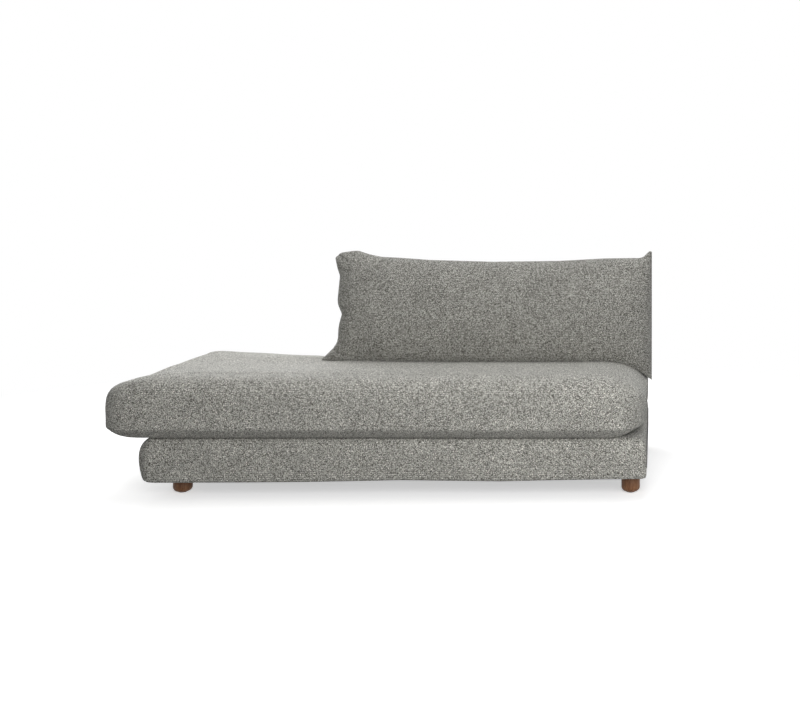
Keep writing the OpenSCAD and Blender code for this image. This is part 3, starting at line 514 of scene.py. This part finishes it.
for k, p in enumerate(points):
    out = outward[k % m]
    at_front, at_open = soft_step(-p[1], 0.25, 0.40), soft_step(-out[0], -0.1, 0.7)
    edge_in = min(p[0] - base_x0, base_x1 - p[0], p[1] - base_y0, base_y1 - p[1])
    slack = (1 - at_front) * (1 - soft_step(p[0], 0.85, 0.93))
    wave = at_front * np.interp(p[0], low_edge_x, low_edge_dz)
    wave -= slack * (0.0035 - 0.0028 * math.sin(5.1 * p[0] + 4.3 * p[1]))
    under = (1 - soft_step(p[2], 0.075, 0.150)) * (1 - soft_step(edge_in, 0.012, 0.032))
    belly = math.sin(math.pi * min(1, max(0, (p[2] - 0.071) / 0.150)))
    belly *= 1 - soft_step(edge_in, 0.004, 0.03)
    ripple = (0.0016 * noise.noise((p[0] * 5, p[1] * 5, p[2] * 4))
              + 0.0008 * noise.noise((p[0] * 16, p[1] * 16, p[2] * 6)))
    free = 1 - soft_step(out[0], 0.2, 0.8)
    swell = belly * (0.003 + 0.012 * at_open) * free - 0.002 * soft_step(out[1], 0.3, 0.8)
    swell += ripple * belly * free
    p[:2] += out * swell
    p[2] += wave * under
    # along the front the shoulder is tighter, so that the seat closes down on it
    tight_top = soft_step(-out[1], 0.5, 0.95) * soft_step(p[2], 0.160, 0.185)
    p[2] += tight_top * np.interp(edge_in, (0, 0.003, 0.012, 0.028, 0.045),
                                  (0.003, 0.006, 0.0055, 0.002, 0))
# the base's cloth is painted 15 % lighter than the frame's: painted light on the same tweed
tweed_base = tweed("rustic_tweed_in_rows", 0.30, 1.15)
base_upholstery = make_piece("base_upholstery", points, faces, tweed_base, "base")
mark_upright(base_upholstery)
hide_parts("base_cover")

# Roll of foam over the rails, which rounds the shoulder of the base under the cloth, and
# the sheet of foam on the webbing: open-cell polyether foam, cut with a hot wire.
foam, tree, shader = new_material("open_cell_polyether_foam")
place = add(tree, "TexCoord", {})
cell_size = 0.0014
cells = add(tree, "TexVoronoi", {"Vector": place.outputs["Object"], "Scale": 1 / cell_size})
tone = add(tree, "ValToRGB", {"Fac": cells.outputs["Distance"]})
low_end, high_end = tone.color_ramp.elements
low_end.color, high_end.color = linear("#f1e8c8"), linear("#d3c79f")
tree.links.new(tone.outputs[0], shader.inputs["Base Color"])
shader.inputs["Roughness"].default_value = 0.95
bump = add(tree, "Bump", {"Height": cells.outputs["Distance"], "Distance": 0.0005, "Strength": 0.6},
           invert=True)
tree.links.new(bump.outputs[0], shader.inputs["Normal"])
plain_plan = [(base_x0, base_y0, 0.06, 0, 60), (base_x1, base_y0, 0.025, 0, 34),
              (base_x1, base_y1, 0.025, 0, 60), (base_x0, base_y1, 0.06, 0, 34)]
roll = [(0.0035, 0.100), (0.0035, 0.150), (0.006, 0.178), (0.011, 0.194), (0.019, 0.2060),
        (0.031, 0.2140), (0.046, 0.2180), (0.070, 0.2186), (0.070, 0.2012), (0.050, 0.2012),
        (0.047, 0.1985), (0.0216, 0.1985), (0.0216, 0.150), (0.0216, 0.100)]
# the last three rings lie against the square corners of the rails
points, faces, m = sweep(plain_plan, roll, True, tight=(11, 12, 13))
edge_roll = make_piece("base_edge_roll", points, faces, foam, "base")
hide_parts("base_edge_padding")


def slab(name, plan, profile, material, body):
    """A closed flat body: a profile swept round a plan and closed above and below."""
    points, faces, m = sweep(plan, profile, False)
    top = len(points) - m
    faces = faces + [tuple(range(m - 1, -1, -1)), tuple(range(top, top + m))]
    piece = make_piece(name, points, faces, material, body)
    piece.data.set_sharp_from_angle(angle=math.radians(30))
    return piece


deck_sheet = slab("deck_foam_sheet", plain_plan,
                  [(0.0712, 0.2010), (0.0704, 0.2020), (0.0704, 0.2175), (0.0712, 0.2186)],
                  foam, "base")
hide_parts("deck_foam")

# Deck cloth and dust cloth: black spunbonded polypropylene, stapled under the rails and
# sewn to the turned-in edge of the cover on the deck; a stiffened panel closes the
# joining side.
spunbond, tree, shader = new_material("black_spunbonded_polypropylene")
place = add(tree, "TexCoord", {})
web = add(tree, "TexNoise", {"Vector": place.outputs["Object"], "Scale": 420, "Detail": 4})
dimple = 0.0024
dimples = add(tree, "TexVoronoi", {"Vector": place.outputs["Object"], "Scale": 1 / dimple,
                                   "Randomness": 0.1})
tone = add(tree, "ValToRGB", {"Fac": web.outputs["Fac"]})
low_end, high_end = tone.color_ramp.elements
low_end.position, low_end.color = 0.3, linear("#1b1b1d")
high_end.position, high_end.color = 0.7, linear("#343438")
tree.links.new(tone.outputs[0], shader.inputs["Base Color"])
shader.inputs["Roughness"].default_value = 0.8
bump = add(tree, "Bump", {"Height": dimples.outputs["Distance"], "Distance": 0.0003, "Strength": 0.6})
tree.links.new(bump.outputs[0], shader.inputs["Normal"])
deck = slab("deck_lining", plain_plan,
            [(0.0762, 0.2188), (0.0756, 0.2194), (0.0756, 0.2202), (0.0762, 0.2208)],
            spunbond, "base")
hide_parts("deck_cloth")
dust = slab("dust_cloth_sheet", plain_plan,
            [(0.0304, 0.0695), (0.030, 0.0698), (0.030, 0.0706), (0.0304, 0.0709)],
            spunbond, "base")
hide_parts("base_dust_cloth")

bpy.ops.object.select_all(action="DESELECT")
low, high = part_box("joining_side_panel")
bpy.ops.mesh.primitive_cube_add(size=1, location=(low + high) / 2, scale=high - low)
panel = bpy.context.object
panel.name = panel.data.name = "joining_side_lining"
bpy.ops.object.transform_apply(location=True, rotation=True, scale=True)
bevel = panel.modifiers.new("rounded", "BEVEL")
bevel.width, bevel.segments = 0.0008, 2
bpy.ops.object.modifier_apply(modifier="rounded")
panel.data.materials.append(spunbond)
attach(panel, "base")
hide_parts("joining_side_panel")

# Back frame: foam and tweed pulled over the posts and rails, with sewn edges at both ends
# and soft upper edges; four straps of elastic behind the foam.
frame_open, frame_front, frame_low, frame_top = -0.300, 0.3055, 0.2224, 0.690
frame_lean = math.radians(8)


def front_of_frame(z):
    """How far back the leaning front of the frame's pad is at a height."""
    return frame_front + (z - 0.222) * math.tan(frame_lean)


def rounded_block(name, low, high, radius, spacing, material, body):
    """A block with soft edges: a subdivided cube whose points are pulled to the rounding."""
    bpy.ops.object.select_all(action="DESELECT")
    bpy.ops.mesh.primitive_cube_add(size=1, location=(0, 0, 0))
    block = bpy.context.object
    block.name = block.data.name = name
    low, high = np.array(low), np.array(high)
    bm = bmesh.new()
    bm.from_mesh(block.data)
    for axis in range(3):
        cuts = max(2, int((high - low)[axis] / spacing))
        for k in range(1, cuts):
            normal = np.eye(3)[axis]
            bmesh.ops.bisect_plane(bm, geom=bm.verts[:] + bm.edges[:] + bm.faces[:],
                                   plane_co=normal * (k / cuts - 0.5), plane_no=normal)
    for v in bm.verts:
        p = low + (np.array(v.co) + 0.5) * (high - low)
        core = np.clip(p, low + radius, high - radius)
        away = p - core
        far = np.linalg.norm(away)
        if far > 1e-9:
            shift = np.sign(away) * np.minimum(np.abs(away), radius)
            p = core + radius * away / far * min(1, np.abs(shift).max() / radius)
        v.co = p
    bm.to_mesh(block.data)
    bm.free()
    block.data.materials.append(material)
    block.data.shade_smooth()
    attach(block, body)
    return block


tweed_frame = tweed("rustic_tweed_pulled_over_frame", 0.18, 1.0, seams=((0, -0.262), (0, 0.950)))
shoulder = (0.178, 0.196, 0.2105, 0.2185, 0.2220)
frame_pad = rounded_block("back_frame_upholstery", (frame_open, frame_front, frame_low - 0.02),
                          (base_x1, base_y1, frame_top), 0.028, 0.013, tweed_frame, "base")
# the pad's foot follows the shoulder of the base, and its front leans back
for v in frame_pad.data.vertices:
    from_edge = min(base_y1 - v.co.y, base_x1 - v.co.x)
    v.co.z = max(v.co.z, 0.0006 + np.interp(from_edge, (0.001, 0.005, 0.014, 0.028, 0.045), shoulder))
    share = (base_y1 - v.co.y) / (base_y1 - frame_front)
    v.co.y += share * (front_of_frame(v.co.z) - frame_front)
    height = (v.co.z - frame_low) / (frame_top - frame_low)
    wide = (v.co.x - frame_open) / (base_x1 - frame_open)
    soft = math.sin(math.pi * min(1, max(0, height))) * math.sin(math.pi * min(1, max(0, wide))) ** 0.4
    if share > 0.9:
        v.co.y -= 0.004 * soft
    elif share < 0.1:
        v.co.y -= 0.0015 * (1 - soft) + 0.0012 * noise.noise((v.co.x * 6, 3, v.co.z * 6))
    v.co.z -= 0.003 * soft_step(height, 0.9, 1.0) * (0.5 + noise.noise((v.co.x * 4, v.co.y * 4, 5)))
mark_upright(frame_pad)
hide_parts("back_frame_cover", "back_frame_foam")

low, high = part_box("back_webbing")
runs = []
lean = np.array([0, math.sin(frame_lean), math.cos(frame_lean)])
out = np.array([0, -math.cos(frame_lean), math.sin(frame_lean)])
pad_thick = 0.01995
for z in np.linspace(0.2724, 0.578, 4):
    y = front_of_frame(z) + pad_thick / math.cos(frame_lean)
    foot = np.array([0, y, z]) + lean * 0.030 - out * strap_half
    runs.append(([foot + x_way * x for x in np.linspace(low.x, high.x, 12)], lean, out))
strap_group("back_elastic_straps", runs, "base", "back_webbing")

# Seat cushion: a block of foam in thick fibre, in a boxed cover that bellies out in front
# and at the open end, with a soft front edge and a border that tucks under.
def stuff(piece, voxel, cap, held):
    """Blows a plain closed form up as cloth: an even mesh where a voxel size is given,
    pressure inside, held where it rests, each point at most cap outwards from its place."""
    bpy.ops.object.select_all(action="DESELECT")
    bpy.context.view_layer.objects.active = piece
    piece.select_set(True)
    if voxel:
        even = piece.modifiers.new("even", "REMESH")
        even.mode, even.voxel_size, even.adaptivity = "VOXEL", voxel, 0
        bpy.ops.object.modifier_apply(modifier="even")
    count = len(piece.data.vertices)
    start = np.zeros(count * 3)
    piece.data.vertices.foreach_get("co", start)
    start = start.reshape(-1, 3)
    outwards = np.zeros(count * 3)
    piece.data.vertex_normals.foreach_get("vector", outwards)
    outwards = outwards.reshape(-1, 3)
    group = piece.vertex_groups.new(name="held")
    for k, weight in enumerate(held(start)):
        if weight > 0:
            group.add([k], float(weight), "REPLACE")
    cloth = piece.modifiers.new("stuffing", "CLOTH")
    cloth.settings.use_pressure = True
    cloth.settings.uniform_pressure_force = 4
    cloth.settings.effector_weights.gravity = 0
    cloth.settings.quality = 4
    cloth.settings.bending_stiffness = 1.5
    cloth.settings.vertex_group_mass = "held"
    cloth.point_cache.frame_start, cloth.point_cache.frame_end = 1, 20
    for f in range(1, 21):
        bpy.context.scene.frame_set(f)
    bpy.ops.object.modifier_apply(modifier="stuffing")
    bpy.context.scene.frame_set(1)
    blown = np.zeros(count * 3)
    piece.data.vertices.foreach_get("co", blown)
    move = ((blown.reshape(-1, 3) - start) * outwards).sum(axis=1)
    start = start + outwards * (cap * np.tanh(np.maximum(move, 0) / cap))[:, None]
    piece.vertex_groups.clear()
    piece.data.vertices.foreach_set("co", start.ravel())
    fine = piece.modifiers.new("fine", "SUBSURF")
    fine.levels = fine.render_levels = 1
    bpy.ops.object.modifier_apply(modifier="fine")
    piece.data.shade_smooth()


def read_points(piece):
    co = np.zeros(len(piece.data.vertices) * 3)
    piece.data.vertices.foreach_get("co", co)
    return co.reshape(-1, 3)


def write_points(piece, co):
    piece.data.vertices.foreach_set("co", co.ravel())
    piece.data.update()


def open_for_zip(co, name, face, out):
    """Lays the cloth flat round a zip, and draws it back behind the zip's tapes."""
    lip, sunk = 0.0022, 0.0006
    low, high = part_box(name)
    off_x = np.maximum(np.maximum(low.x - co[:, 0], co[:, 0] - high.x), 0)
    off_z = np.maximum(np.maximum(low.z - co[:, 2], co[:, 2] - high.z), 0)
    off = np.hypot(off_x, off_z)
    rear = (co - face) @ out > -0.03
    flat = rear * (1 - soft_step(off, 0.01, 0.06))
    co -= (flat * np.maximum((co - face) @ out - lip, 0))[:, None] * out
    behind = rear & (off <= 0)
    co[behind] -= np.maximum((co[behind] - face) @ out + sunk, 0)[:, None] * out


seat_zip_face, seat_zip_out = np.array([0, 0.2940, 0.3024]), y_way
back_zip_face = np.array([0, 0.3356, 0.5265])
back_zip_out = np.array([0, math.cos(math.radians(12.5)), -math.sin(math.radians(12.5))])
seat_low = 0.2226
seat_plan = [(-1.000, -0.5225, 0.118, 0.002, 120), (1.000, -0.5225, 0.150, 0, 44),
             (1.000, 0.2955, 0.040, 0, 76), (-0.314, 0.2955, 0.020, 0, 14),
             (-0.314, 0.5045, 0.050, 0, 34), (-1.000, 0.5045, 0.110, 0.004, 56)]
border = [(0.034, 0.000), (0.014, 0.005), (0.003, 0.016), (0.000, 0.030), (0.000, 0.050), (0.000, 0.075),
          (-0.0015, 0.105), (0.000, 0.135), (0.004, 0.158), (0.012, 0.178), (0.026, 0.195), (0.046, 0.207),
          (0.076, 0.2145), (0.120, 0.218), (0.180, 0.2195), (0.235, 0.220)]
points, faces, m = sweep(seat_plan, [(a, seat_low + b) for a, b in border], False)
bottom_middle, top_middle = len(points), len(points) + 1
points = np.vstack([points, [[-0.657, -0.1135, seat_low]], [[-0.657, -0.1135, seat_low + 0.220]]])
last = bottom_middle - m
faces += [(bottom_middle, (k + 1) % m, k) for k in range(m)]
faces += [(top_middle, last + k, last + (k + 1) % m) for k in range(m)]
# the seat's cloth is painted 13 % lighter than the frame's: painted light on the same tweed
seat_tweed = tweed("rustic_tweed_on_seat", 0.18, 1.13)
seat = make_piece("seat_cushion_stuffed", points, faces, seat_tweed, "seat_cushion")


def seat_held(co):
    """Where the seat can't swell: its underside, and its sides at the frame and the joining end."""
    x, y, z = co.T
    hold = np.maximum(1 - soft_step(z, seat_low + 0.045, seat_low + 0.075), soft_step(x, 0.93, 0.985))
    hold = np.maximum(hold, soft_step(y, 0.24, 0.285) * (x > -0.36))
    return np.maximum(hold, soft_step(x, -0.36, -0.325) * (y > 0.24))


stuff(seat, 0.012, 0.003, seat_held)
co = read_points(seat)
x, y, z = co.T
up = soft_step(z, seat_low + 0.10, seat_low + 0.21)
# the top is fullest along the front, and sinks towards the back cushion and the back frame
front_rise = 0.006 * soft_step(x, -0.98, -0.72) - 0.008 * soft_step(-x, 0.86, 0.97)
height = soft_table(y, (-0.46, -0.30), (1, 0)) * front_rise
height += soft_table(y, (-0.46, -0.30, 0.02, 0.09, 0.35, 0.52), (0, 0.001, -0.016, -0.0215, -0.021, -0.012))
height += soft_step(-x, 0.78, 0.95) * soft_table(
    y, (-0.47, -0.42, -0.30, -0.20, -0.15, -0.05, 0.02, 0.12, 0.25, 0.40, 0.50),
    (0, -.011, -.018, -.015, -.010, -.002, .002, .006, .007, .005, 0))
height -= 0.006 * soft_step(x, -0.30, 0.0) * soft_step(y, -0.10, 0.08) * (1 - soft_step(x, 0.70, 0.90))
height -= 0.022 * soft_step(x, -0.95, -0.40) * soft_step(y, 0.25, 0.48)
seat_hollow = np.exp(-((x + 0.45) / 0.17) ** 2) * soft_step(y, -0.37, -0.14) * (1 - soft_step(y, 0.0, 0.45))
height -= 0.009 * seat_hollow
height -= np.interp(1 - x, (0, 0.02, 0.055, 0.09, 0.13, 0.18, 0.24),
                    (0.050, 0.040, 0.030, 0.019, 0.009, 0.003, 0))
ripple = np.array([0.0030 * noise.noise((a * 2.6, b * 2.6, 1.0)) + 0.0010 * noise.noise((a * 8, b * 8, 4.0))
                   for a, b in co[:, :2]])
co[:, 2] += up * (height + ripple)
# past the base the underside rises a little at the open end, and at the front of the joining end
low_part = 1 - soft_step(z, seat_low + 0.02, seat_low + 0.09)
co[:, 2] += 0.006 * soft_step(-x, 0.86, 0.98) * low_part
co[:, 2] += 0.022 * soft_step(x, 0.84, 0.985) * soft_step(-y, 0.26, 0.44) * low_part
co[:, 0] -= soft_step(x, 0.90, 1.0) * np.interp(z, (0.225, 0.255, 0.27, 0.30, 0.35, 0.39, 0.42),
                                                (0.026, 0.021, 0.018, 0.017, 0.013, 0.007, 0.004))
co[:, 0] -= 0.0085 * soft_step(-x, 0.80, 0.98)
waves = np.array([0.0022 * noise.noise((a * 3.2, c * 7, 2.0)) for a, c in co[:, [0, 2]]])
pulls = np.array([0.0012 * noise.noise((a * 15, c * 3, 7.0)) for a, c in co[:, [0, 2]]])
co[:, 1] += (waves + pulls) * soft_step(-y, 0.40, 0.50)
# under a sharp edge the border tucks in, deep along the front and little at the open end
tuck_high = 0.038
tuck = np.clip((seat_low + tuck_high - co[:, 2]) / tuck_high, 0, 1)
co[:, 1] += 0.048 * tuck * soft_step(-y, 0.30, 0.45)
co[:, 0] += 0.006 * tuck * soft_step(-x, 0.85, 0.95)
co[:, 2] = np.maximum(co[:, 2], seat_low)
# and its lowest edge hangs a little over the shoulder of the base
edge_down = 1 - soft_step(co[:, 2], seat_low + 0.004, seat_low + 0.032)
past_base = np.maximum(soft_step(-co[:, 1], 0.445, 0.462), soft_step(-co[:, 0], 0.885, 0.92))
co[:, 2] -= 0.0055 * edge_down * past_base
# where the back frame stands beside or behind it, the cushion keeps to its straight faces
behind = (co[:, 0] > -0.40) & (co[:, 1] > 0.20)
co[behind, 1] = np.minimum(co[behind, 1], 0.2962 + np.maximum(0, -0.305 - co[behind, 0]) * 50)
beside = co[:, 1] > 0.2962
co[beside, 0] = np.minimum(co[beside, 0], -0.3135)
co[:, 0] = np.minimum(co[:, 0], 1.0)
open_for_zip(co, "seat_zip", seat_zip_face, seat_zip_out)
write_points(seat, co)
mark_upright(seat)
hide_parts("seat_cushion_cover", "seat_fibre_wrap")
foam_core = slab("seat_foam_block", [(px, py, r, 0, n // 3) for px, py, r, _, n in seat_plan],
                 [(0.064, seat_low + 0.026), (0.060, seat_low + 0.030), (0.060, seat_low + 0.146),
                  (0.064, seat_low + 0.150)], foam, "seat_cushion")
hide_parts("seat_foam_core")

# Back cushion: a fibre-filled cover of two panels, sewn at both ends to a seam that pulls
# out into ears. It stands on the seat and leans on the back frame.
# the open end's seam from foot to ear, the top from ear to ear, and the foot
left_z = (0.405, 0.420, 0.4357, 0.461, 0.487, 0.513, 0.539, 0.564, 0.590, 0.610, 0.622, 0.642, 0.667,
          0.718, 0.770, 0.796, 0.821, 0.840, 0.847, 0.855, 0.864, 0.869, 0.872, 0.876)
left_x = (-0.400, -0.396, -0.380, -0.355, -0.336, -0.331, -0.332, -0.330, -0.324, -0.318, -0.324,
          -0.336, -0.341, -0.339, -0.336, -0.347, -0.354, -0.359, -0.360, -0.353, -0.342, -0.331,
          -0.322, -0.300)
top_x = (-0.340, -0.335, -0.328, -0.322, -0.308, -0.294, -0.277, -0.250, -0.200, -0.155, -0.078,
         0.047, 0.318, 0.611, 0.805, 0.935, 0.962, 0.972, 0.985, 0.9965, 1.000, 1.006)
top_z = (0.867, 0.868, 0.870, 0.872, 0.875, 0.8765, 0.8755, 0.8710, 0.859, 0.850, 0.846,
         0.8370, 0.829, 0.833, 0.8435, 0.8450, 0.844, 0.8515, 0.865, 0.8765, 0.8765, 0.871)
foot_x = (-0.40, -0.30, -0.05, 0.76, 0.82, 0.87, 0.90, 0.945, 0.975, 1.006)
foot_z = (0.406, 0.4105, 0.4135, 0.4125, 0.409, 0.403, 0.397, 0.379, 0.357, 0.332)
back_x0, back_x1, back_low, back_foot, back_t = -0.335, 1.006, 0.4262, 0.0875, 0.240
back_lean, seam_half, open_taper, join_taper = math.radians(9.5), 0.004, 0.26, 0.17
stations = np.concatenate([np.linspace(0, 0.03, 7)[:-1], np.linspace(0.03, 0.97, 110),
                           np.linspace(0.97, 1, 7)[1:]])
loop_n = 128
points, faces = [], []
# a section at each station: a flat foot, a round top, and thinner towards both seams
for s in stations:
    length = back_x1 - back_x0
    d_open, d_join = s * length, (1 - s) * length
    full = (math.sqrt(1 - max(0, 1 - d_open / open_taper) ** 2.2)
            * math.sqrt(1 - max(0, 1 - d_join / join_taper) ** 2.2))
    half = seam_half + (back_t / 2 - seam_half) * full
    at = back_x0 + d_open
    top = np.interp(at, top_x, top_z)
    foot = np.interp(at, foot_x, foot_z)
    sunk = foot - 0.020 * full
    for k in range(loop_n):
        a = 2 * math.pi * (k + 0.5) / loop_n
        rise = math.sin(a) if a < math.pi else -abs(math.sin(a)) ** 0.76
        z = max(foot, sunk + (top - sunk) * (0.5 + 0.5 * rise))
        h = (z - foot) / (top - foot)
        y = half * (1.02 - 0.14 * h) * math.copysign(abs(math.cos(a)) ** 0.95, math.cos(a))
        shape = np.interp(z, left_z, left_x) - back_x0
        points.append((at + shape * (1 - s) ** 10,
                       back_foot + back_t / 2 + (z - back_low) * math.tan(back_lean) + y, z))
for i in range(len(stations) - 1):
    for k in range(loop_n):
        q = (k + 1) % loop_n
        faces.append((i * loop_n + k, i * loop_n + q, (i + 1) * loop_n + q, (i + 1) * loop_n + k))
# each end is closed by a strip from its rear half to its front half
end = (len(stations) - 1) * loop_n
half_n, lowest = loop_n // 2, loop_n * 3 // 4
rear_side = [(lowest + k) % loop_n for k in range(half_n)]
front_side = [lowest - 1 - k for k in range(half_n)]
for k in range(half_n - 1):
    quad = (rear_side[k], front_side[k], front_side[k + 1], rear_side[k + 1])
    faces += [quad, tuple(end + c for c in reversed(quad))]
# the back cushion's cloth is painted 14 % darker than the frame's and about a quarter darker than the
# seat's: painted shade on the same tweed
back_tweed = tweed("rustic_tweed_on_back_cushion", 0.20, 0.86)
back = make_piece("back_cushion_stuffed", points, faces, back_tweed, "back_cushion")
bm = bmesh.new()
bm.from_mesh(back.data)
bmesh.ops.recalc_face_normals(bm, faces=bm.faces)
bm.to_mesh(back.data)
bm.free()


def back_held(co):
    """Where the back cushion can't swell: its underside, its end seams and low on its rear face."""
    x, y, z = co.T
    low = np.interp(x, foot_x, foot_z)
    hold = 1 - soft_step(z - low, 0.001, 0.02)
    hold = np.maximum(hold, 1 - soft_step(x, back_x0, back_x0 + 0.03))
    return np.maximum(hold, soft_step(x, 0.965, 0.99))


stuff(back, 0, 0.004, back_held)
co = read_points(back)
co[:, 2] = np.maximum(co[:, 2], np.interp(co[:, 0], foot_x, foot_z))
ripple = np.array([0.0035 * noise.noise((a * 4.2, 2.0, c * 5.0))
                   + 0.0014 * noise.noise((a * 11, 5.0, c * 12)) for a, c in co[:, [0, 2]]])
co[:, 1] += ripple * soft_step(co[:, 2], 0.44, 0.50)
# short folds run in from the seams at the ears and the foot
fold_half = 0.0065
for x0, z0, x1, z1, deep in ((-0.350, 0.856, -0.285, 0.832, 0.013), (-0.335, 0.798, -0.262, 0.788, 0.006),
                             (-0.350, 0.462, -0.250, 0.430, 0.013), (-0.320, 0.610, -0.270, 0.604, 0.008),
                             (0.998, 0.850, 0.930, 0.826, 0.009), (0.998, 0.440, 0.930, 0.465, 0.006)):
    start, way = np.array([x0, z0]), np.array([x1 - x0, z1 - z0])
    from_start = co[:, [0, 2]] - start
    t = np.clip(from_start @ way / (way @ way), 0, 1)
    off = np.linalg.norm(from_start - t[:, None] * way, axis=1)
    co[:, 1] += deep * np.exp(-(off / fold_half) ** 2) * (1 - t) ** 0.7
# behind, the cushion is flat where it leans on the frame
lean_y = front_of_frame(co[:, 2]) - 0.0015
leaning = co[:, 2] < frame_top + 0.010
co[leaning, 1] = np.minimum(co[leaning, 1], lean_y[leaning])
open_for_zip(co, "back_zip", back_zip_face, back_zip_out)
write_points(back, co)
mark_upright(back)
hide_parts("back_cushion_cover", "back_fibre_fill")

# Zips: woven polyester tapes with a nylon coil, low on the rear face of each cushion, and
# die-cast sliders.
def zip_tape(name, face, out):
    """Woven tape whose middle, the coil, stands out of the tape's face and is ribbed across."""
    material, tree, shader = new_material(name)
    place = add(tree, "TexCoord", {})
    weave = add(tree, "TexWave", {"Vector": place.outputs["Object"], "Scale": one_band / 0.0012},
                bands_direction="DIAGONAL")
    ribs = add(tree, "TexWave", {"Vector": place.outputs["Object"], "Scale": one_band / 0.0020},
               bands_direction="X")
    reach = add(tree, "VectorMath", {0: place.outputs["Object"], 1: tuple(out)}, operation="DOT_PRODUCT")
    raised = add(tree, "MapRange", {"Value": reach.outputs["Value"], "From Min": float(face @ out) + 0.0003,
                                    "From Max": float(face @ out) + 0.0006})
    relief = add(tree, "Mix", {0: raised.outputs[0], 2: weave.outputs["Fac"], 3: ribs.outputs["Fac"]})
    tone = add(tree, "ValToRGB", {"Fac": relief.outputs[0]})
    low_end, high_end = tone.color_ramp.elements
    low_end.color, high_end.color = linear("#3b3a34"), linear("#77756c")
    tree.links.new(tone.outputs[0], shader.inputs["Base Color"])
    shader.inputs["Roughness"].default_value = 0.7
    bump = add(tree, "Bump", {"Height": relief.outputs[0], "Distance": 0.0005, "Strength": 0.7})
    tree.links.new(bump.outputs[0], shader.inputs["Normal"])
    return material


seat_tape = zip_tape("woven_polyester_zip_tape", seat_zip_face, seat_zip_out)
finish_nodes(seat_tape, "zip", "seat_zip")
back_tape = zip_tape("woven_polyester_zip_tape_leaning", back_zip_face, back_zip_out)
finish_nodes(back_tape, "zip", "back_zip")

slider_metal, tree, shader = new_material("die_cast_zinc_slider")
place = add(tree, "TexCoord", {})
film = add(tree, "TexNoise", {"Vector": place.outputs["Object"], "Scale": 500, "Detail": 3})
tone = add(tree, "ValToRGB", {"Fac": film.outputs["Fac"]})
low_end, high_end = tone.color_ramp.elements
low_end.color, high_end.color = linear("#6d6e70"), linear("#8f9093")
tree.links.new(tone.outputs[0], shader.inputs["Base Color"])
shader.inputs["Metallic"].default_value = 1
shader.inputs["Roughness"].default_value = 0.4
finish_nodes(slider_metal, "zip_metal", "seat_zip_slider", "back_zip_slider")
